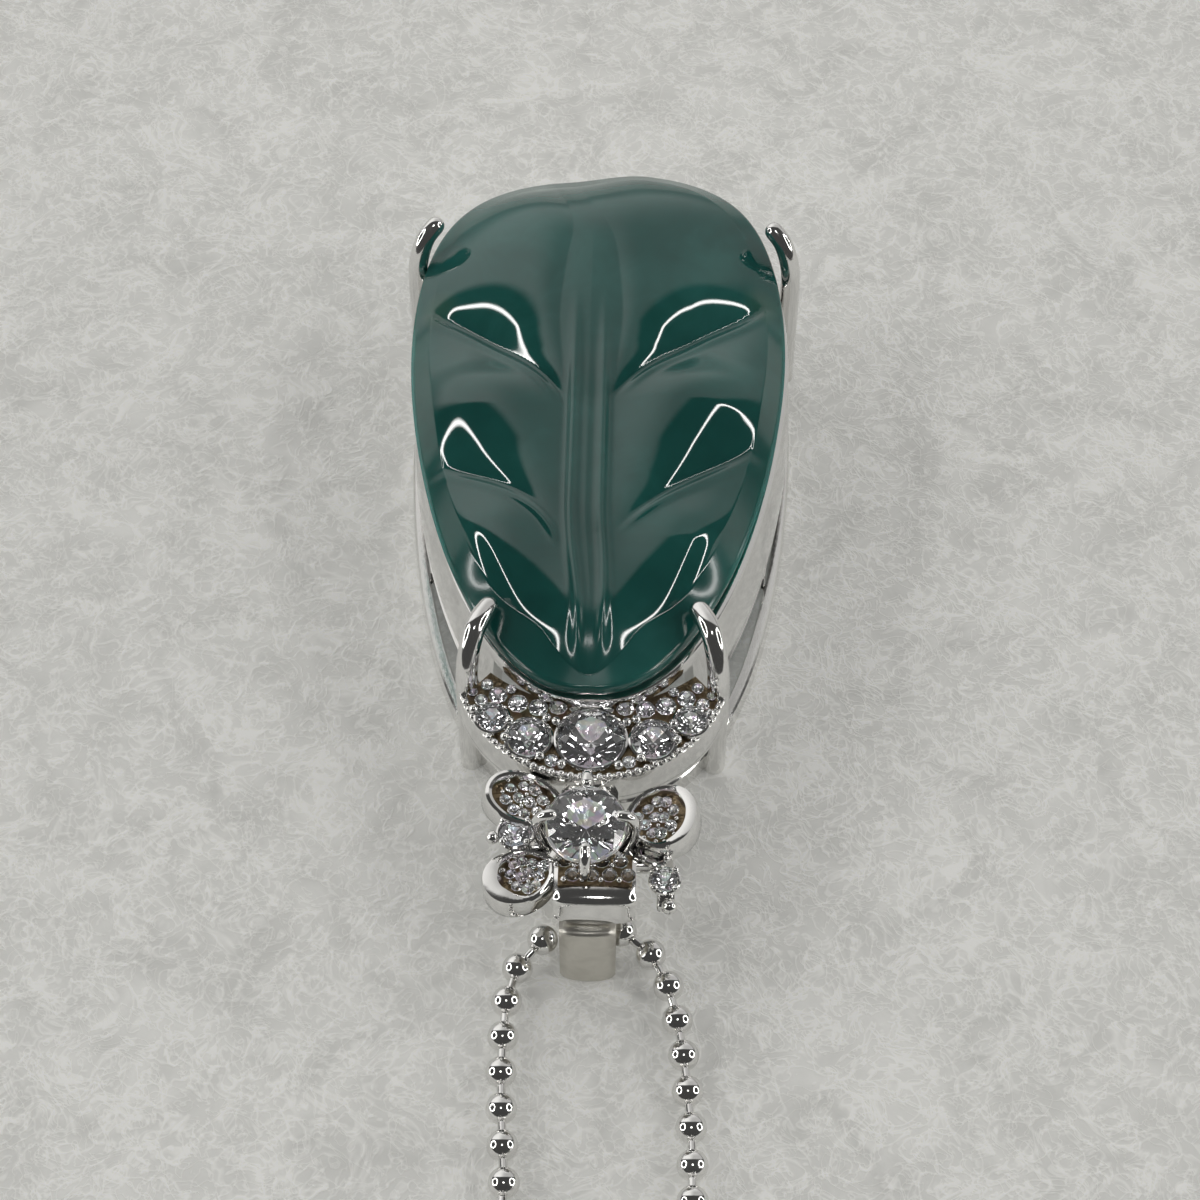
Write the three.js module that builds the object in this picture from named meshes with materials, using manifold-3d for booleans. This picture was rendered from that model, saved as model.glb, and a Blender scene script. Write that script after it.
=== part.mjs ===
// Jadeite leaf pendant on its ball chain, lying face up. Millimetres, +Z up, the wide end of the leaf
// towards +Y and the bail towards -Y. The origin lies on the surface that the pendant rests on, below
// the middle of the pendant without its chain.

import * as THREE from 'three';
import { mergeVertices } from 'three/addons/utils/BufferGeometryUtils.js';
import { ParametricGeometry } from 'three/addons/geometries/ParametricGeometry.js';
import Module from 'manifold-3d';

// Driving dimensions of the pendant
const PENDANT_LENGTH = 36.4;
const LEAF_LENGTH = 26.9;
const LEAF_WIDTH = 15.9;
const LEAF_TOP = 10.4;
const LEAF_EDGE = 7.65;
const RIM_TOP = 6.1;
const WALL = 0.5;
const BASE_FLARE = 0.35;
const CHAIN_DIAMETER = 1.2;
const CENTRE_STONE = 3.0;
const TOUCH_GAP = 0.05;

const endOfPendant = PENDANT_LENGTH / 2;
const leafFar = endOfPendant - BASE_FLARE;
const leafTip = leafFar - LEAF_LENGTH;
const leafHalf = LEAF_WIDTH / 2;
const leafWidest = leafFar - 9.1;

// Finishes
const jade = new THREE.MeshStandardMaterial({ color: 0x1f5a50, roughness: 0.12, metalness: 0 });
const whiteMetal = new THREE.MeshStandardMaterial({ color: 0xcfcdc8, roughness: 0.15, metalness: 1 });
const crystal = new THREE.MeshStandardMaterial({ color: 0xeef2f6, roughness: 0.03, metalness: 0 });

const pendant = new THREE.Group();

function addPiece(name, geometry, material) {
  const piece = new THREE.Mesh(geometry, material);
  piece.name = name;
  pendant.add(piece);
  return piece;
}

// Joining and cutting of closed bodies
const wasm = await Module();
wasm.setup();

function solid(geometry) {
  const bare = geometry.clone();
  bare.deleteAttribute('normal');
  bare.deleteAttribute('uv');
  const merged = mergeVertices(bare, 1e-4);
  return new wasm.Manifold(new wasm.Mesh({
    numProp: 3,
    vertProperties: new Float32Array(merged.attributes.position.array),
    triVerts: new Uint32Array(merged.index.array),
  }));
}

function geometryOf(body) {
  const mesh = body.getMesh();
  const geometry = new THREE.BufferGeometry();
  geometry.setAttribute('position', new THREE.BufferAttribute(mesh.vertProperties, 3));
  geometry.setIndex(new THREE.BufferAttribute(mesh.triVerts, 1));
  return geometry;
}

function join(bodies) {
  return bodies.reduce((all, body) => all.add(body));
}

// A closed body once more, moved and turned
function placed(body, place) {
  return solid(geometryOf(body).applyMatrix4(place));
}

function box(x0, x1, y0, y1, z0, z1) {
  const block = new THREE.BoxGeometry(x1 - x0, y1 - y0, z1 - z0);
  block.translate((x0 + x1) / 2, (y0 + y1) / 2, (z0 + z1) / 2);
  return solid(block);
}

// An upright round bar or cup, wider or narrower at its foot
function roundBar(x, y, z0, z1, topRadius, footRadius, sides) {
  const bar = new THREE.CylinderGeometry(topRadius, footRadius, z1 - z0, sides);
  bar.rotateX(Math.PI / 2);
  bar.translate(x, y, (z0 + z1) / 2);
  return solid(bar);
}

function bead(x, y, z, radius) {
  const ball = new THREE.SphereGeometry(radius, 6, 3);
  ball.rotateX(Math.PI / 2);
  ball.translate(x, y, z);
  return solid(ball);
}

// A round wire along a smooth line, its end rounded off: claws and posts
function claw(points, radius, steps, sides) {
  const path = new THREE.CatmullRomCurve3(points.map((p) => new THREE.Vector3(...p)));
  const section = new THREE.Shape();
  section.absarc(0, 0, radius, 0, 2 * Math.PI);
  const wire = new THREE.ExtrudeGeometry(section, { extrudePath: path, steps, curveSegments: sides / 2 });
  const end = points[points.length - 1];
  const tip = new THREE.SphereGeometry(radius, sides, sides / 2);
  tip.translate(...end);
  return solid(wire).add(solid(tip));
}

// Outline of the leaf and of its setting: an egg, blunt at the wide end. Each side is two cubic arcs
function eggSide(grow, bluntness, reach = 0) {
  const half = leafHalf + grow;
  const tip = leafTip - grow - reach;
  const far = leafFar + grow;
  const point = (x, y) => new THREE.Vector2(x, y);
  const lower = new THREE.CubicBezierCurve(
    point(0, tip), point(bluntness, tip - 0.6), point(half, leafWidest - 6.2), point(half, leafWidest));
  const upper = new THREE.CubicBezierCurve(
    point(half, leafWidest), point(half, leafWidest + 6.9), point(0.66 * half, far), point(0, far));
  return { lower, upper };
}

function eggShape(grow, bluntness, pieces, reach) {
  const { lower, upper } = eggSide(grow, bluntness, reach);
  const right = [...lower.getPoints(pieces), ...upper.getPoints(pieces).slice(1)];
  const left = right.slice(1, -1).reverse().map((p) => new THREE.Vector2(-p.x, p.y));
  return new THREE.Shape([...right, ...left]);
}

// The jadeite leaf. It is described by lines that run from a crest along the middle, over the dome and
// the bevel to the girdle, and back below to the middle. The stone sits a little to the left in its setting
const LEAF_SHIFT = -0.15;
const LEAF_BLUNTNESS = 4.95;
const crestLow = leafTip + 5.4;
const crestHigh = leafFar - 7;
const TOP_ROWS = 15;
const LEAF_LINES = 66;
const UNDERSIDE = 5.3;

// Rows below the bevel: how far in from the outline, how high, and how far they follow the rim's rise
const edgeRows = [
  { inset: 0.1, z: 6.95, rises: 1 },
  { inset: 0, z: 6.7, rises: 1 },
  { inset: 0, z: 6.45, rises: 0.5 },
  { inset: 0.6, z: 6.22, rises: 0 },
  { inset: 1.5, z: UNDERSIDE, rises: 0 },
];

const clamp01 = (t) => Math.min(1, Math.max(0, t));
const soft = (t) => clamp01(t) ** 2 * (3 - 2 * clamp01(t));
const hump = (distance, width) => Math.exp(-((distance / width) ** 2));

// The bevel is widest along both sides of the tip, so that the carved face ends there in a point
const BEVEL = 0.85;
const BEVEL_BESIDE_TIP = 0.45;
const BEVEL_AT_TIP = -0.3;
const BEVEL_AT_WIDE_END = 0.15;

function bevelWidth(edge) {
  const nearTip = soft((4 - edge.y) / 4);
  const tipShare = BEVEL_BESIDE_TIP * hump(edge.x - 3.8, 1.7) + BEVEL_AT_TIP * hump(edge.x, 0.9);
  return BEVEL + tipShare * nearTip + BEVEL_AT_WIDE_END * soft((edge.y - 12) / 4);
}

// The stone's rim rises at the wide end, more on the right of the notch
const WIDE_END_RISE = 0.35;
const RIGHT_RISE = 0.5;

function rimRise(x, y) {
  return soft((y - 11) / 5.5) * (WIDE_END_RISE + RIGHT_RISE * soft((x + 1.5) / 3.5));
}

// The carving. The midrib is a shallow groove up the middle that bends left into a notch at the wide end.
// Two side veins on each half curve from it out to the edge. A lobe's lower flank rolls down steeply to
// the vein that lies nearer the tip, and its upper flank sinks gently to the other one
const MIDRIB_HALF = 0.92;
const MIDRIB_RISE = 0.25;
const MIDRIB_LEAN = 0.3;
const NOTCH_OFFSET = 1.2;
const GROOVE_LOW = 0.7;
const GROOVE_HIGH = 0.3;
const GROOVE_REACH = 1.5;
const CARVING_DEPTH = 1.75;
const UPPER_FLANK = 4;
const STEEPEST = 62;
const FALL_TO_TIP = 0.6;
const leftHalf = {
  grooveSpread: 0.3,
  veins: [
    { start: leafTip + 12.85, end: leafTip + 19.15, reach: 6.4, bend: 1.36, flank: 6 },
    { start: leafTip + 5.65, end: leafTip + 10.55, reach: 5.4, bend: 2.2, flank: 4.4 },
  ],
};
const rightHalf = {
  grooveSpread: 1.5,
  veins: [
    { start: leafTip + 13.15, end: leafTip + 19.8, reach: 6.35, bend: 1.2, flank: 6 },
    { start: leafTip + 6.45, end: leafTip + 11.7, reach: 5.5, bend: 1.1, flank: 4.8 },
  ],
};

// From 0 at a crease to 1 where the surface is level, along an arc of a circle
function arc(t) {
  const steepest = STEEPEST * Math.PI / 180;
  const across = (1 - clamp01(t)) * Math.sin(steepest);
  return (Math.sqrt(1 - across * across) - Math.cos(steepest)) / (1 - Math.cos(steepest));
}

// The midrib lies a little left of the middle, above the tip
const lean = (y) => MIDRIB_LEAN * soft((y + 6) / 5);

// Distance to a vein, positive on the side that lies nearer the wide end
function aboveVein(vein, x, y) {
  const side = Math.abs(x + lean(y) * Math.max(0, 1 - (x / 6) ** 2));
  const rise = vein.end - vein.start;
  const along = Math.max(1e-6, (y - vein.start) / rise);
  const veinX = MIDRIB_HALF + vein.reach * along ** vein.bend;
  const slope = vein.reach * vein.bend * along ** (vein.bend - 1) / rise * soft((y - vein.start) / 3);
  return (veinX - side) / Math.hypot(1, slope);
}

// How much of the lobes' full height is left on one half, beside the midrib's groove and between the veins
function fullnessOf(half, x, y, besideGroove, groove) {
  const grooveReach = GROOVE_REACH * (1 + half.grooveSpread * soft((y - 8) / 6));
  return half.veins.reduce((share, vein) => {
    const above = aboveVein(vein, x, y);
    return share * (above > 0 ? arc(above / vein.flank) : 1 - (1 - clamp01(-above / UPPER_FLANK)) ** 1.3);
  }, 1 - groove * Math.exp(-besideGroove / grooveReach));
}

// Height of the carved top. The last number runs from 0 at the crest to 1 at the bevel
function carvedHeight(x, y, outward) {
  const midribX = -NOTCH_OFFSET * soft((y - 12) / 5) - lean(y);
  const rim = LEAF_EDGE - 0.2 * soft((2 - y) / 11) + rimRise(x, y);
  const dome = rim + (LEAF_TOP - rim) * (1 - outward ** (2.8 + 1.3 * soft((2 - y) / 6)));
  const fall = FALL_TO_TIP * soft((6 - y) / 14) * (1 - outward ** 3);
  const beside = Math.abs(x - midribX);
  const midribHalf = MIDRIB_HALF + 0.4 * hump(y - 8.5, 3) - 0.4 * soft((y - 11) / 4);
  const besideGroove = Math.max(0, beside - midribHalf);
  const groove = GROOVE_LOW + (GROOVE_HIGH - GROOVE_LOW) * soft((y - 4) / 12);
  const left = fullnessOf(leftHalf, x, y, besideGroove, groove);
  const right = fullnessOf(rightHalf, x, y, besideGroove, groove);
  const fullness = left + (right - left) * soft((x - midribX) / 0.8 + 0.5);
  const depth = CARVING_DEPTH * (1 - 0.35 * outward ** 3) * (1 - 0.6 * outward ** 8);
  const midrib = MIDRIB_RISE * (1 - soft(beside / midribHalf)) * (1 - outward ** 4);
  return dome - fall - depth * (1 - fullness) + midrib;
}

function leafPoint(u, v, target) {
  const { lower, upper } = eggSide(0, LEAF_BLUNTNESS);
  const onLeft = u <= 0.5;
  const along = onLeft ? 2 * u : 2 - 2 * u;
  const edge = along <= 0.5 ? lower.getPointAt(2 * along) : upper.getPointAt(2 * along - 1);
  const crestY = crestLow + (crestHigh - crestLow) * (edge.y - leafTip) / LEAF_LENGTH;
  const reach = Math.hypot(edge.x, edge.y - crestY);
  const row = Math.round(v * (TOP_ROWS + edgeRows.length + 1));
  let share = 0;
  if (row <= TOP_ROWS) {
    share = (row / TOP_ROWS) * (1 - bevelWidth(edge) / reach);
  } else if (row <= TOP_ROWS + edgeRows.length) {
    share = 1 - edgeRows[row - TOP_ROWS - 1].inset / reach;
  }
  const x = edge.x * share * (onLeft ? -1 : 1);
  const y = crestY + (edge.y - crestY) * share;
  let z = UNDERSIDE;
  if (row <= TOP_ROWS) {
    z = carvedHeight(x, y, row / TOP_ROWS);
  } else if (row <= TOP_ROWS + edgeRows.length) {
    const edgeRow = edgeRows[row - TOP_ROWS - 1];
    z = edgeRow.z + edgeRow.rises * rimRise(x, y);
  }
  target.set(x + LEAF_SHIFT, y, z);
}

addPiece('jadeite_leaf', new ParametricGeometry(leafPoint, LEAF_LINES, TOP_ROWS + edgeRows.length + 1), jade);

// Stones, cut round: a point below, a girdle at height zero and a flat table on top
function stoneGeometry(radius, sides) {
  const profile = [[0, -0.86], [1, 0], [0.58, 0.3], [0, 0.3]];
  const line = profile.map(([r, h]) => new THREE.Vector2(r * radius, h * radius));
  const stone = new THREE.LatheGeometry(line, sides);
  stone.rotateX(Math.PI / 2);
  return stone;
}

function addStone(name, x, y, z, radius, sides, place) {
  const stone = stoneGeometry(radius, sides);
  stone.translate(x, y, z);
  if (place) {
    stone.applyMatrix4(place);
  }
  addPiece(name, stone, crystal);
}

// What is cut out of the metal for a stone: its point and girdle with a little room, open above. Large
// stones have a hole below that lets light in
function seat(x, y, z, radius, sides, hole, place) {
  const room = radius + TOUCH_GAP;
  const profile = hole
    ? [[0, -3 * radius], [0.5 * radius, -3 * radius], [0.5 * radius, -0.5 * radius]]
    : [[0, -0.95 * radius]];
  profile.push([room, -TOUCH_GAP], [room, radius], [0, radius]);
  const cutter = new THREE.LatheGeometry(profile.map(([r, h]) => new THREE.Vector2(r, h)), sides);
  cutter.rotateX(Math.PI / 2);
  cutter.translate(x, y, z);
  if (place) {
    cutter.applyMatrix4(place);
  }
  return solid(cutter);
}

// The basket that holds the leaf: a flared wall, open below, with a long slot above its base rail
const RIM_BLUNTNESS = 5.3;
const OUTLINE_PIECES = 8;
const RAIL_BLUNTNESS = 6.6;
const RAIL_REACH = 0.75;
const SLOT_LOW = 1.0;
const SLOT_HIGH = 2.1;
const RIM_AT_TIP = 5.5;
const leafMiddle = (leafTip + leafFar) / 2;

function flared(geometry) {
  const points = geometry.attributes.position;
  for (let i = 0; i < points.count; i += 1) {
    const out = BASE_FLARE * (1 - points.getZ(i) / RIM_TOP);
    points.setX(i, points.getX(i) * (1 + out / leafHalf));
    points.setY(i, leafMiddle + (points.getY(i) - leafMiddle) * (1 + 2 * out / LEAF_LENGTH));
  }
  return geometry;
}

function band(outer, inner, z0, z1, bluntness, reach) {
  const shape = eggShape(outer, bluntness, OUTLINE_PIECES, reach);
  shape.holes.push(eggShape(inner, bluntness + inner, OUTLINE_PIECES, reach));
  const ring = new THREE.ExtrudeGeometry(shape, { depth: z1 - z0, bevelEnabled: false });
  ring.translate(0, 0, z0);
  return solid(flared(ring));
}

// Short struts that bridge the slot, by their place along each side's outline
function struts() {
  const { lower, upper } = eggSide(-WALL / 2 + BASE_FLARE * 0.75, RIM_BLUNTNESS);
  const places = [lower.getPointAt(0.62), upper.getPointAt(0), upper.getPointAt(0.82)];
  const bars = places.flatMap((p) => [p, new THREE.Vector2(-p.x, p.y)]);
  return bars.map((p) => roundBar(p.x, p.y, SLOT_LOW - 0.1, SLOT_HIGH + 0.1, 0.24, 0.24, 6));
}

// Claw prongs: near the tip they lean in over the leaf's shoulders, at the wide end they stand outside it
const PRONG_RADIUS = 0.44;
const nearPost = { x: 4.95, y: -8.05 };
const farPost = { x: 8.1, y: 12.9 };

function prongs() {
  return [1, -1].flatMap((side) => [
    claw([
      [side * nearPost.x, nearPost.y, 0],
      [side * nearPost.x, nearPost.y, 2.8],
      [side * nearPost.x, nearPost.y + 0.05, 5.6],
      [side * (nearPost.x - 0.08), nearPost.y + 0.5, 6.8],
      [side * (nearPost.x - 0.35), nearPost.y + 1.3, 7.65],
      [side * (nearPost.x - 0.8), nearPost.y + 2.3, 7.6],
    ], PRONG_RADIUS, 6, 8),
    claw([
      [side * farPost.x, farPost.y, 0],
      [side * farPost.x, farPost.y, 3.2],
      [side * farPost.x, farPost.y, 6.2],
      [side * (farPost.x - 0.1), farPost.y + 0.05, 7.5],
      [side * (farPost.x - 0.5), farPost.y + 0.15, 8.5],
      [side * (farPost.x - 1.1), farPost.y + 0.3, 8.95],
    ], PRONG_RADIUS - 0.04, 5, 8),
  ]);
}

// The crescent of five stones in front of the leaf's tip
const CRESCENT_TOP = 5.5;
const CRESCENT_FOOT = 3.8;
const CRESCENT_RADIUS = 5.5;
const crescentCentre = leafTip + 2.25;
const RIM_ARC_RADIUS = 6.2;
const rimArcCentre = leafTip + 6.55;
const degrees = Math.PI / 180;
const crescentStones = [
  { name: 'crescent_stone_middle', x: 0, y: -10.5, radius: 1.32, foot: 3.2, sides: 12 },
  { name: 'crescent_stone_inner_right', x: 2.42, y: -10.5, radius: 0.84, foot: 3.6, sides: 10 },
  { name: 'crescent_stone_inner_left', x: -2.42, y: -10.5, radius: 0.84, foot: 3.6, sides: 10 },
  { name: 'crescent_stone_outer_right', x: 3.88, y: -9.6, radius: 0.6, foot: 3.7, sides: 8 },
  { name: 'crescent_stone_outer_left', x: -3.88, y: -9.6, radius: 0.6, foot: 3.7, sides: 8 },
];
const STONE_HEIGHT = CRESCENT_TOP + 0.05;

function crescent() {
  const shape = new THREE.Shape();
  shape.absarc(0, crescentCentre, CRESCENT_RADIUS, -165 * degrees, -15 * degrees);
  shape.absarc(0, rimArcCentre, RIM_ARC_RADIUS, -48 * degrees, -132 * degrees, true);
  const plate = new THREE.ExtrudeGeometry(shape, {
    depth: CRESCENT_TOP - CRESCENT_FOOT, bevelEnabled: false, curveSegments: 6,
  });
  plate.translate(0, 0, CRESCENT_FOOT);
  const cups = crescentStones.map((stone) => roundBar(
    stone.x, stone.y, stone.foot, CRESCENT_TOP - 0.02, stone.radius + 0.16, stone.radius, stone.sides + 2));
  return join([solid(plate), ...cups]);
}

// Bead prongs, at the gaps between neighbouring stones and beyond each end of the row
function crescentBeads() {
  const height = CRESCENT_TOP + 0.12;
  const places = [
    [1.38, -9.55], [1.42, -11.55], [3.35, -10.5], [4.62, -9.35],
  ];
  return places.flatMap(([x, y]) => [bead(x, y, height, 0.24), bead(-x, y, height, 0.24)]);
}

const NECK_HALF = 1.1;
const NECK_END = -12.7;
const neck = box(-NECK_HALF, NECK_HALF, NECK_END, -11.5, 3.2, 4.4);

const rail = band(0, -WALL, 0, SLOT_LOW, RAIL_BLUNTNESS, RAIL_REACH);
const openFront = box(-nearPost.x, nearPost.x, -13, -6.6, 0, RIM_AT_TIP);
const wall = band(0, -WALL, SLOT_HIGH, RIM_TOP, RIM_BLUNTNESS).subtract(openFront);
let basket = join([rail, wall, ...struts(), ...prongs(), crescent(), neck, ...crescentBeads()]);
for (const stone of crescentStones) {
  basket = basket.subtract(seat(stone.x, stone.y, STONE_HEIGHT, stone.radius, stone.sides, true));
  addStone(stone.name, stone.x, stone.y, STONE_HEIGHT, stone.radius, stone.sides);
}
addPiece('basket', geometryOf(basket), whiteMetal);

// The flower and bail, soldered to the neck. Everything on it is placed from the centre stone
const flowerX = -0.08;
const flowerY = -14.75;
const plateY = -14.6;
const GIRDLE = 6.2;
const centreRadius = CENTRE_STONE / 2;
const centreTilt = 10 * degrees;
const PLATE_FOOT = 3.75;
const PLATE_TOP = 4.5;

const centrePlace = new THREE.Matrix4()
  .makeTranslation(flowerX, flowerY, GIRDLE)
  .multiply(new THREE.Matrix4().makeRotationX(centreTilt));

function flowerClaws() {
  return [0, 90, 180, 270].map((turn) => {
    const outX = Math.cos(turn * degrees);
    const outY = Math.sin(turn * degrees);
    const lean = Math.sin(centreTilt) * outY;
    const at = (reach, z) => [flowerX + outX * reach, flowerY + outY * reach, z + lean * reach];
    return claw([
      at(1.4, PLATE_TOP - 0.2), at(1.75, GIRDLE - 0.9), at(1.87, GIRDLE),
      at(1.61, GIRDLE + 0.5), at(1.35, GIRDLE + 0.6),
    ], 0.26, 4, 6);
  });
}

// A petal: a rounded blade with a raised rim round a sunken floor, from the flower's centre outwards
function petalShape(length, width, inset) {
  const side = 0.66 * width - inset;
  const shape = new THREE.Shape();
  shape.moveTo(0, inset);
  shape.bezierCurveTo(side, 0.1 * length, side, length - inset, 0, length - inset);
  shape.bezierCurveTo(-side, length - inset, -side, 0.1 * length, 0, inset);
  return shape;
}

const PETAL_DEPTH = 1.0;
const PETAL_RIM = 0.3;
const PAVING_RADIUS = 0.36;
const petals = [
  { name: 'upper_left', x: -1.0, y: -13.6, z: 4.1, turn: 71, tilt: 8, length: 3.35, width: 2.4, lip: 0.16 },
  { name: 'upper_right', x: 1.5, y: -13.6, z: 4.1, turn: -97, tilt: 10, length: 2.9, width: 3.0, lip: 0.3 },
  { name: 'lower_left', x: -1.2, y: -15.35, z: 3.7, turn: 118, tilt: -4, length: 3.0, width: 2.5, lip: 0.42 },
];

function petalPlace(petal) {
  return new THREE.Matrix4()
    .makeTranslation(petal.x, petal.y, petal.z)
    .multiply(new THREE.Matrix4().makeRotationZ(petal.turn * degrees))
    .multiply(new THREE.Matrix4().makeRotationX(petal.tilt * degrees));
}

function pavingOf(petal) {
  const height = PETAL_DEPTH - 0.38;
  const pair = 0.2 * petal.width;
  return [
    { x: -pair, y: 0.52 * petal.length, z: height },
    { x: pair, y: 0.52 * petal.length, z: height },
  ];
}

function petalBody(petal) {
  const blade = new THREE.ExtrudeGeometry(petalShape(petal.length, petal.width, 0), {
    depth: PETAL_DEPTH, bevelEnabled: false, curveSegments: 5,
  });
  const floor = new THREE.ExtrudeGeometry(petalShape(petal.length - petal.lip, petal.width, PETAL_RIM), {
    depth: PETAL_DEPTH, bevelEnabled: false, curveSegments: 4,
  });
  floor.translate(0, 0, PETAL_DEPTH - 0.4);
  const lip = new THREE.SphereGeometry(1, 8, 4);
  lip.scale(0.36 * petal.width, petal.lip + 0.1, 0.5 * PETAL_DEPTH + 0.06);
  lip.translate(0, petal.length - petal.lip, 0.55 * PETAL_DEPTH);
  let body = solid(blade).add(solid(lip)).subtract(solid(floor));
  for (const spot of pavingOf(petal)) {
    body = body.subtract(seat(spot.x, spot.y, spot.z, PAVING_RADIUS, 6));
  }
  return placed(body, petalPlace(petal));
}

// Small settings beside the centre stone: one on the left, two down the right side
const sideSettings = [
  { name: 'side_stone_left', x: -2.8, y: -14.5, z: 5.05, radius: 0.6, foot: 3.75 },
  { name: 'side_stone_right', x: 2.55, y: -14.95, z: 4.7, radius: 0.55, foot: 3.5 },
  { name: 'side_stone_lower_right', x: 2.95, y: -16.05, z: 4.35, radius: 0.5, foot: 3.3 },
];
const sideBeads = [[-3.65, -14.65, 4.9, 0.28], [3.13, -16.95, 3.9, 0.34]];

function sideBody() {
  const cups = sideSettings.map((s) => roundBar(s.x, s.y, s.foot, s.z, s.radius + 0.17, s.radius, 10));
  const ends = sideBeads.map(([x, y, z, radius]) => bead(x, y, z, radius));
  const leftArm = box(-2.85, -1.3, -14.8, -14.0, PLATE_FOOT, PLATE_TOP - 0.1);
  const rightBar = box(2.65, 3.35, -16.95, -14.6, 3.4, 3.9);
  const rightArm = box(1.3, 2.7, -15.5, -14.5, PLATE_FOOT, PLATE_TOP - 0.1);
  return join([...cups, ...ends, leftArm, rightArm, rightBar]);
}

// The loop lies on the surface and stands up at its end; the front band curls down over it
const LOOP_WALL = 0.6;
const LOOP_WIDTH = 2.15;
const loopX = 0.04;
const loopEnd = -endOfPendant;
const loopStart = -13.4;
const BAND_WIDTH = 3.1;
const bandX = 0.3;
const EDGE_ROUND = 0.2;

function acrossX(shape, width, middle, rounding) {
  const slab = new THREE.ExtrudeGeometry(shape, {
    depth: width - 2 * rounding,
    bevelEnabled: rounding > 0,
    bevelSize: rounding,
    bevelThickness: rounding,
    bevelOffset: -rounding,
    bevelSegments: 1,
    curveSegments: 3,
  });
  slab.rotateX(Math.PI / 2);
  slab.rotateZ(Math.PI / 2);
  slab.translate(middle - width / 2 + rounding, 0, 0);
  return solid(slab);
}

function roundedFrame(y0, y1, z0, z1, corner, Path) {
  const path = new Path();
  path.moveTo(y0 + corner, z0);
  path.lineTo(y1 - corner, z0);
  path.quadraticCurveTo(y1, z0, y1, z0 + corner);
  path.lineTo(y1, z1 - corner);
  path.quadraticCurveTo(y1, z1, y1 - corner, z1);
  path.lineTo(y0 + corner, z1);
  path.quadraticCurveTo(y0, z1, y0, z1 - corner);
  path.lineTo(y0, z0 + corner);
  path.quadraticCurveTo(y0, z0, y0 + corner, z0);
  return path;
}

function loop() {
  const shape = roundedFrame(loopEnd, loopStart, 0, PLATE_FOOT + 0.3, 0.5, THREE.Shape);
  shape.holes.push(roundedFrame(
    loopEnd + LOOP_WALL, loopStart - LOOP_WALL, LOOP_WALL, PLATE_FOOT - 0.3, 0.35, THREE.Path));
  return acrossX(shape, LOOP_WIDTH, loopX, EDGE_ROUND);
}

function frontBand() {
  const shape = new THREE.Shape();
  shape.moveTo(-15.6, 4.3);
  shape.lineTo(-15.6, 5.25);
  shape.bezierCurveTo(-16.6, 5.3, -17.35, 5.2, -17.6, 4.7);
  shape.quadraticCurveTo(-17.8, 4.35, -17.75, 3.85);
  shape.lineTo(-17.25, 3.85);
  shape.quadraticCurveTo(-17.05, 4.3, -15.6, 4.3);
  return acrossX(shape, BAND_WIDTH, bandX, 0);
}

const bandPaving = [-1.0, 0.45, 1.15].map((x) => ({ x: bandX + x, y: -16.4, z: 5.2 }));

const basePlate = roundBar(0, plateY, PLATE_FOOT, PLATE_TOP, 1.85, 1.85, 16);
const centreCup = roundBar(flowerX, flowerY, PLATE_TOP - 0.1, GIRDLE - 0.1, centreRadius + 0.16, 1.1, 16);
const centreRoom = seat(0, 0, 0, centreRadius, 16, true, centrePlace);

let flower = join([basePlate, centreCup, ...petals.map(petalBody), sideBody(), loop(), frontBand()])
  .subtract(centreRoom);
for (const setting of sideSettings) {
  flower = flower.subtract(seat(setting.x, setting.y, setting.z, setting.radius, 8));
  addStone(setting.name, setting.x, setting.y, setting.z, setting.radius, 8);
}
bandPaving.forEach((spot, i) => {
  flower = flower.subtract(seat(spot.x, spot.y, spot.z, PAVING_RADIUS, 6));
  addStone(`band_paving_${i + 1}`, spot.x, spot.y, spot.z, PAVING_RADIUS, 6);
});
flower = join([flower, ...flowerClaws()]);
addPiece('flower_bail', geometryOf(flower), whiteMetal);

addStone('centre_stone', 0, 0, 0, centreRadius, 16, centrePlace);
for (const petal of petals) {
  pavingOf(petal).forEach((spot, i) => {
    addStone(`paving_${petal.name}_${i + 1}`, spot.x, spot.y, spot.z, PAVING_RADIUS, 6, petalPlace(petal));
  });
}

// The chain: one line of 450 mm from the bail's left side, round the coil and back into its right side.
// Its two strands lie on the surface. The coil is two layers of turns beside each other
const ON_SURFACE = CHAIN_DIAMETER / 2;
const COIL_MIDDLE = -50;
const COIL_TURNS = 4.5;
const coilMean = 6 * CHAIN_DIAMETER;
const coilOuter = coilMean + COIL_TURNS * CHAIN_DIAMETER / 2;
const coilInner = coilMean - COIL_TURNS * CHAIN_DIAMETER / 2;

const leftStrand = [
  [-0.1, -16.75, 1.4], [-1.1, -16.7, 1.34], [-1.85, -16.95, 0.95], [-2.6, -17.75, ON_SURFACE],
  [-3, -19.1, ON_SURFACE], [-3.11, -20.66, ON_SURFACE], [-3.13, -22.28, ON_SURFACE],
  [-3.05, -23.82, ON_SURFACE], [-2.95, -25.31, ON_SURFACE], [-2.82, -27.0, ON_SURFACE],
  [-3.07, -29.4, ON_SURFACE], [-3.96, -32.4, ON_SURFACE], [-5.31, -35.6, ON_SURFACE],
  [-6.8, -38.8, ON_SURFACE], [-8.15, -42.0, ON_SURFACE],
];
const rightStrandNear = [
  [0.35, -16.75, 1.4], [1.3, -16.6, 1.34], [2.1, -16.9, 0.95], [2.7, -17.6, ON_SURFACE],
  [3.18, -18.6, ON_SURFACE], [3.51, -19.95, ON_SURFACE], [3.76, -21.42, ON_SURFACE],
  [3.92, -22.86, ON_SURFACE], [4.06, -24.31, ON_SURFACE], [4.12, -25.8, ON_SURFACE],
  [4.13, -27.2, 0.65], [4.19, -28.7, 1.1],
];
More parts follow.
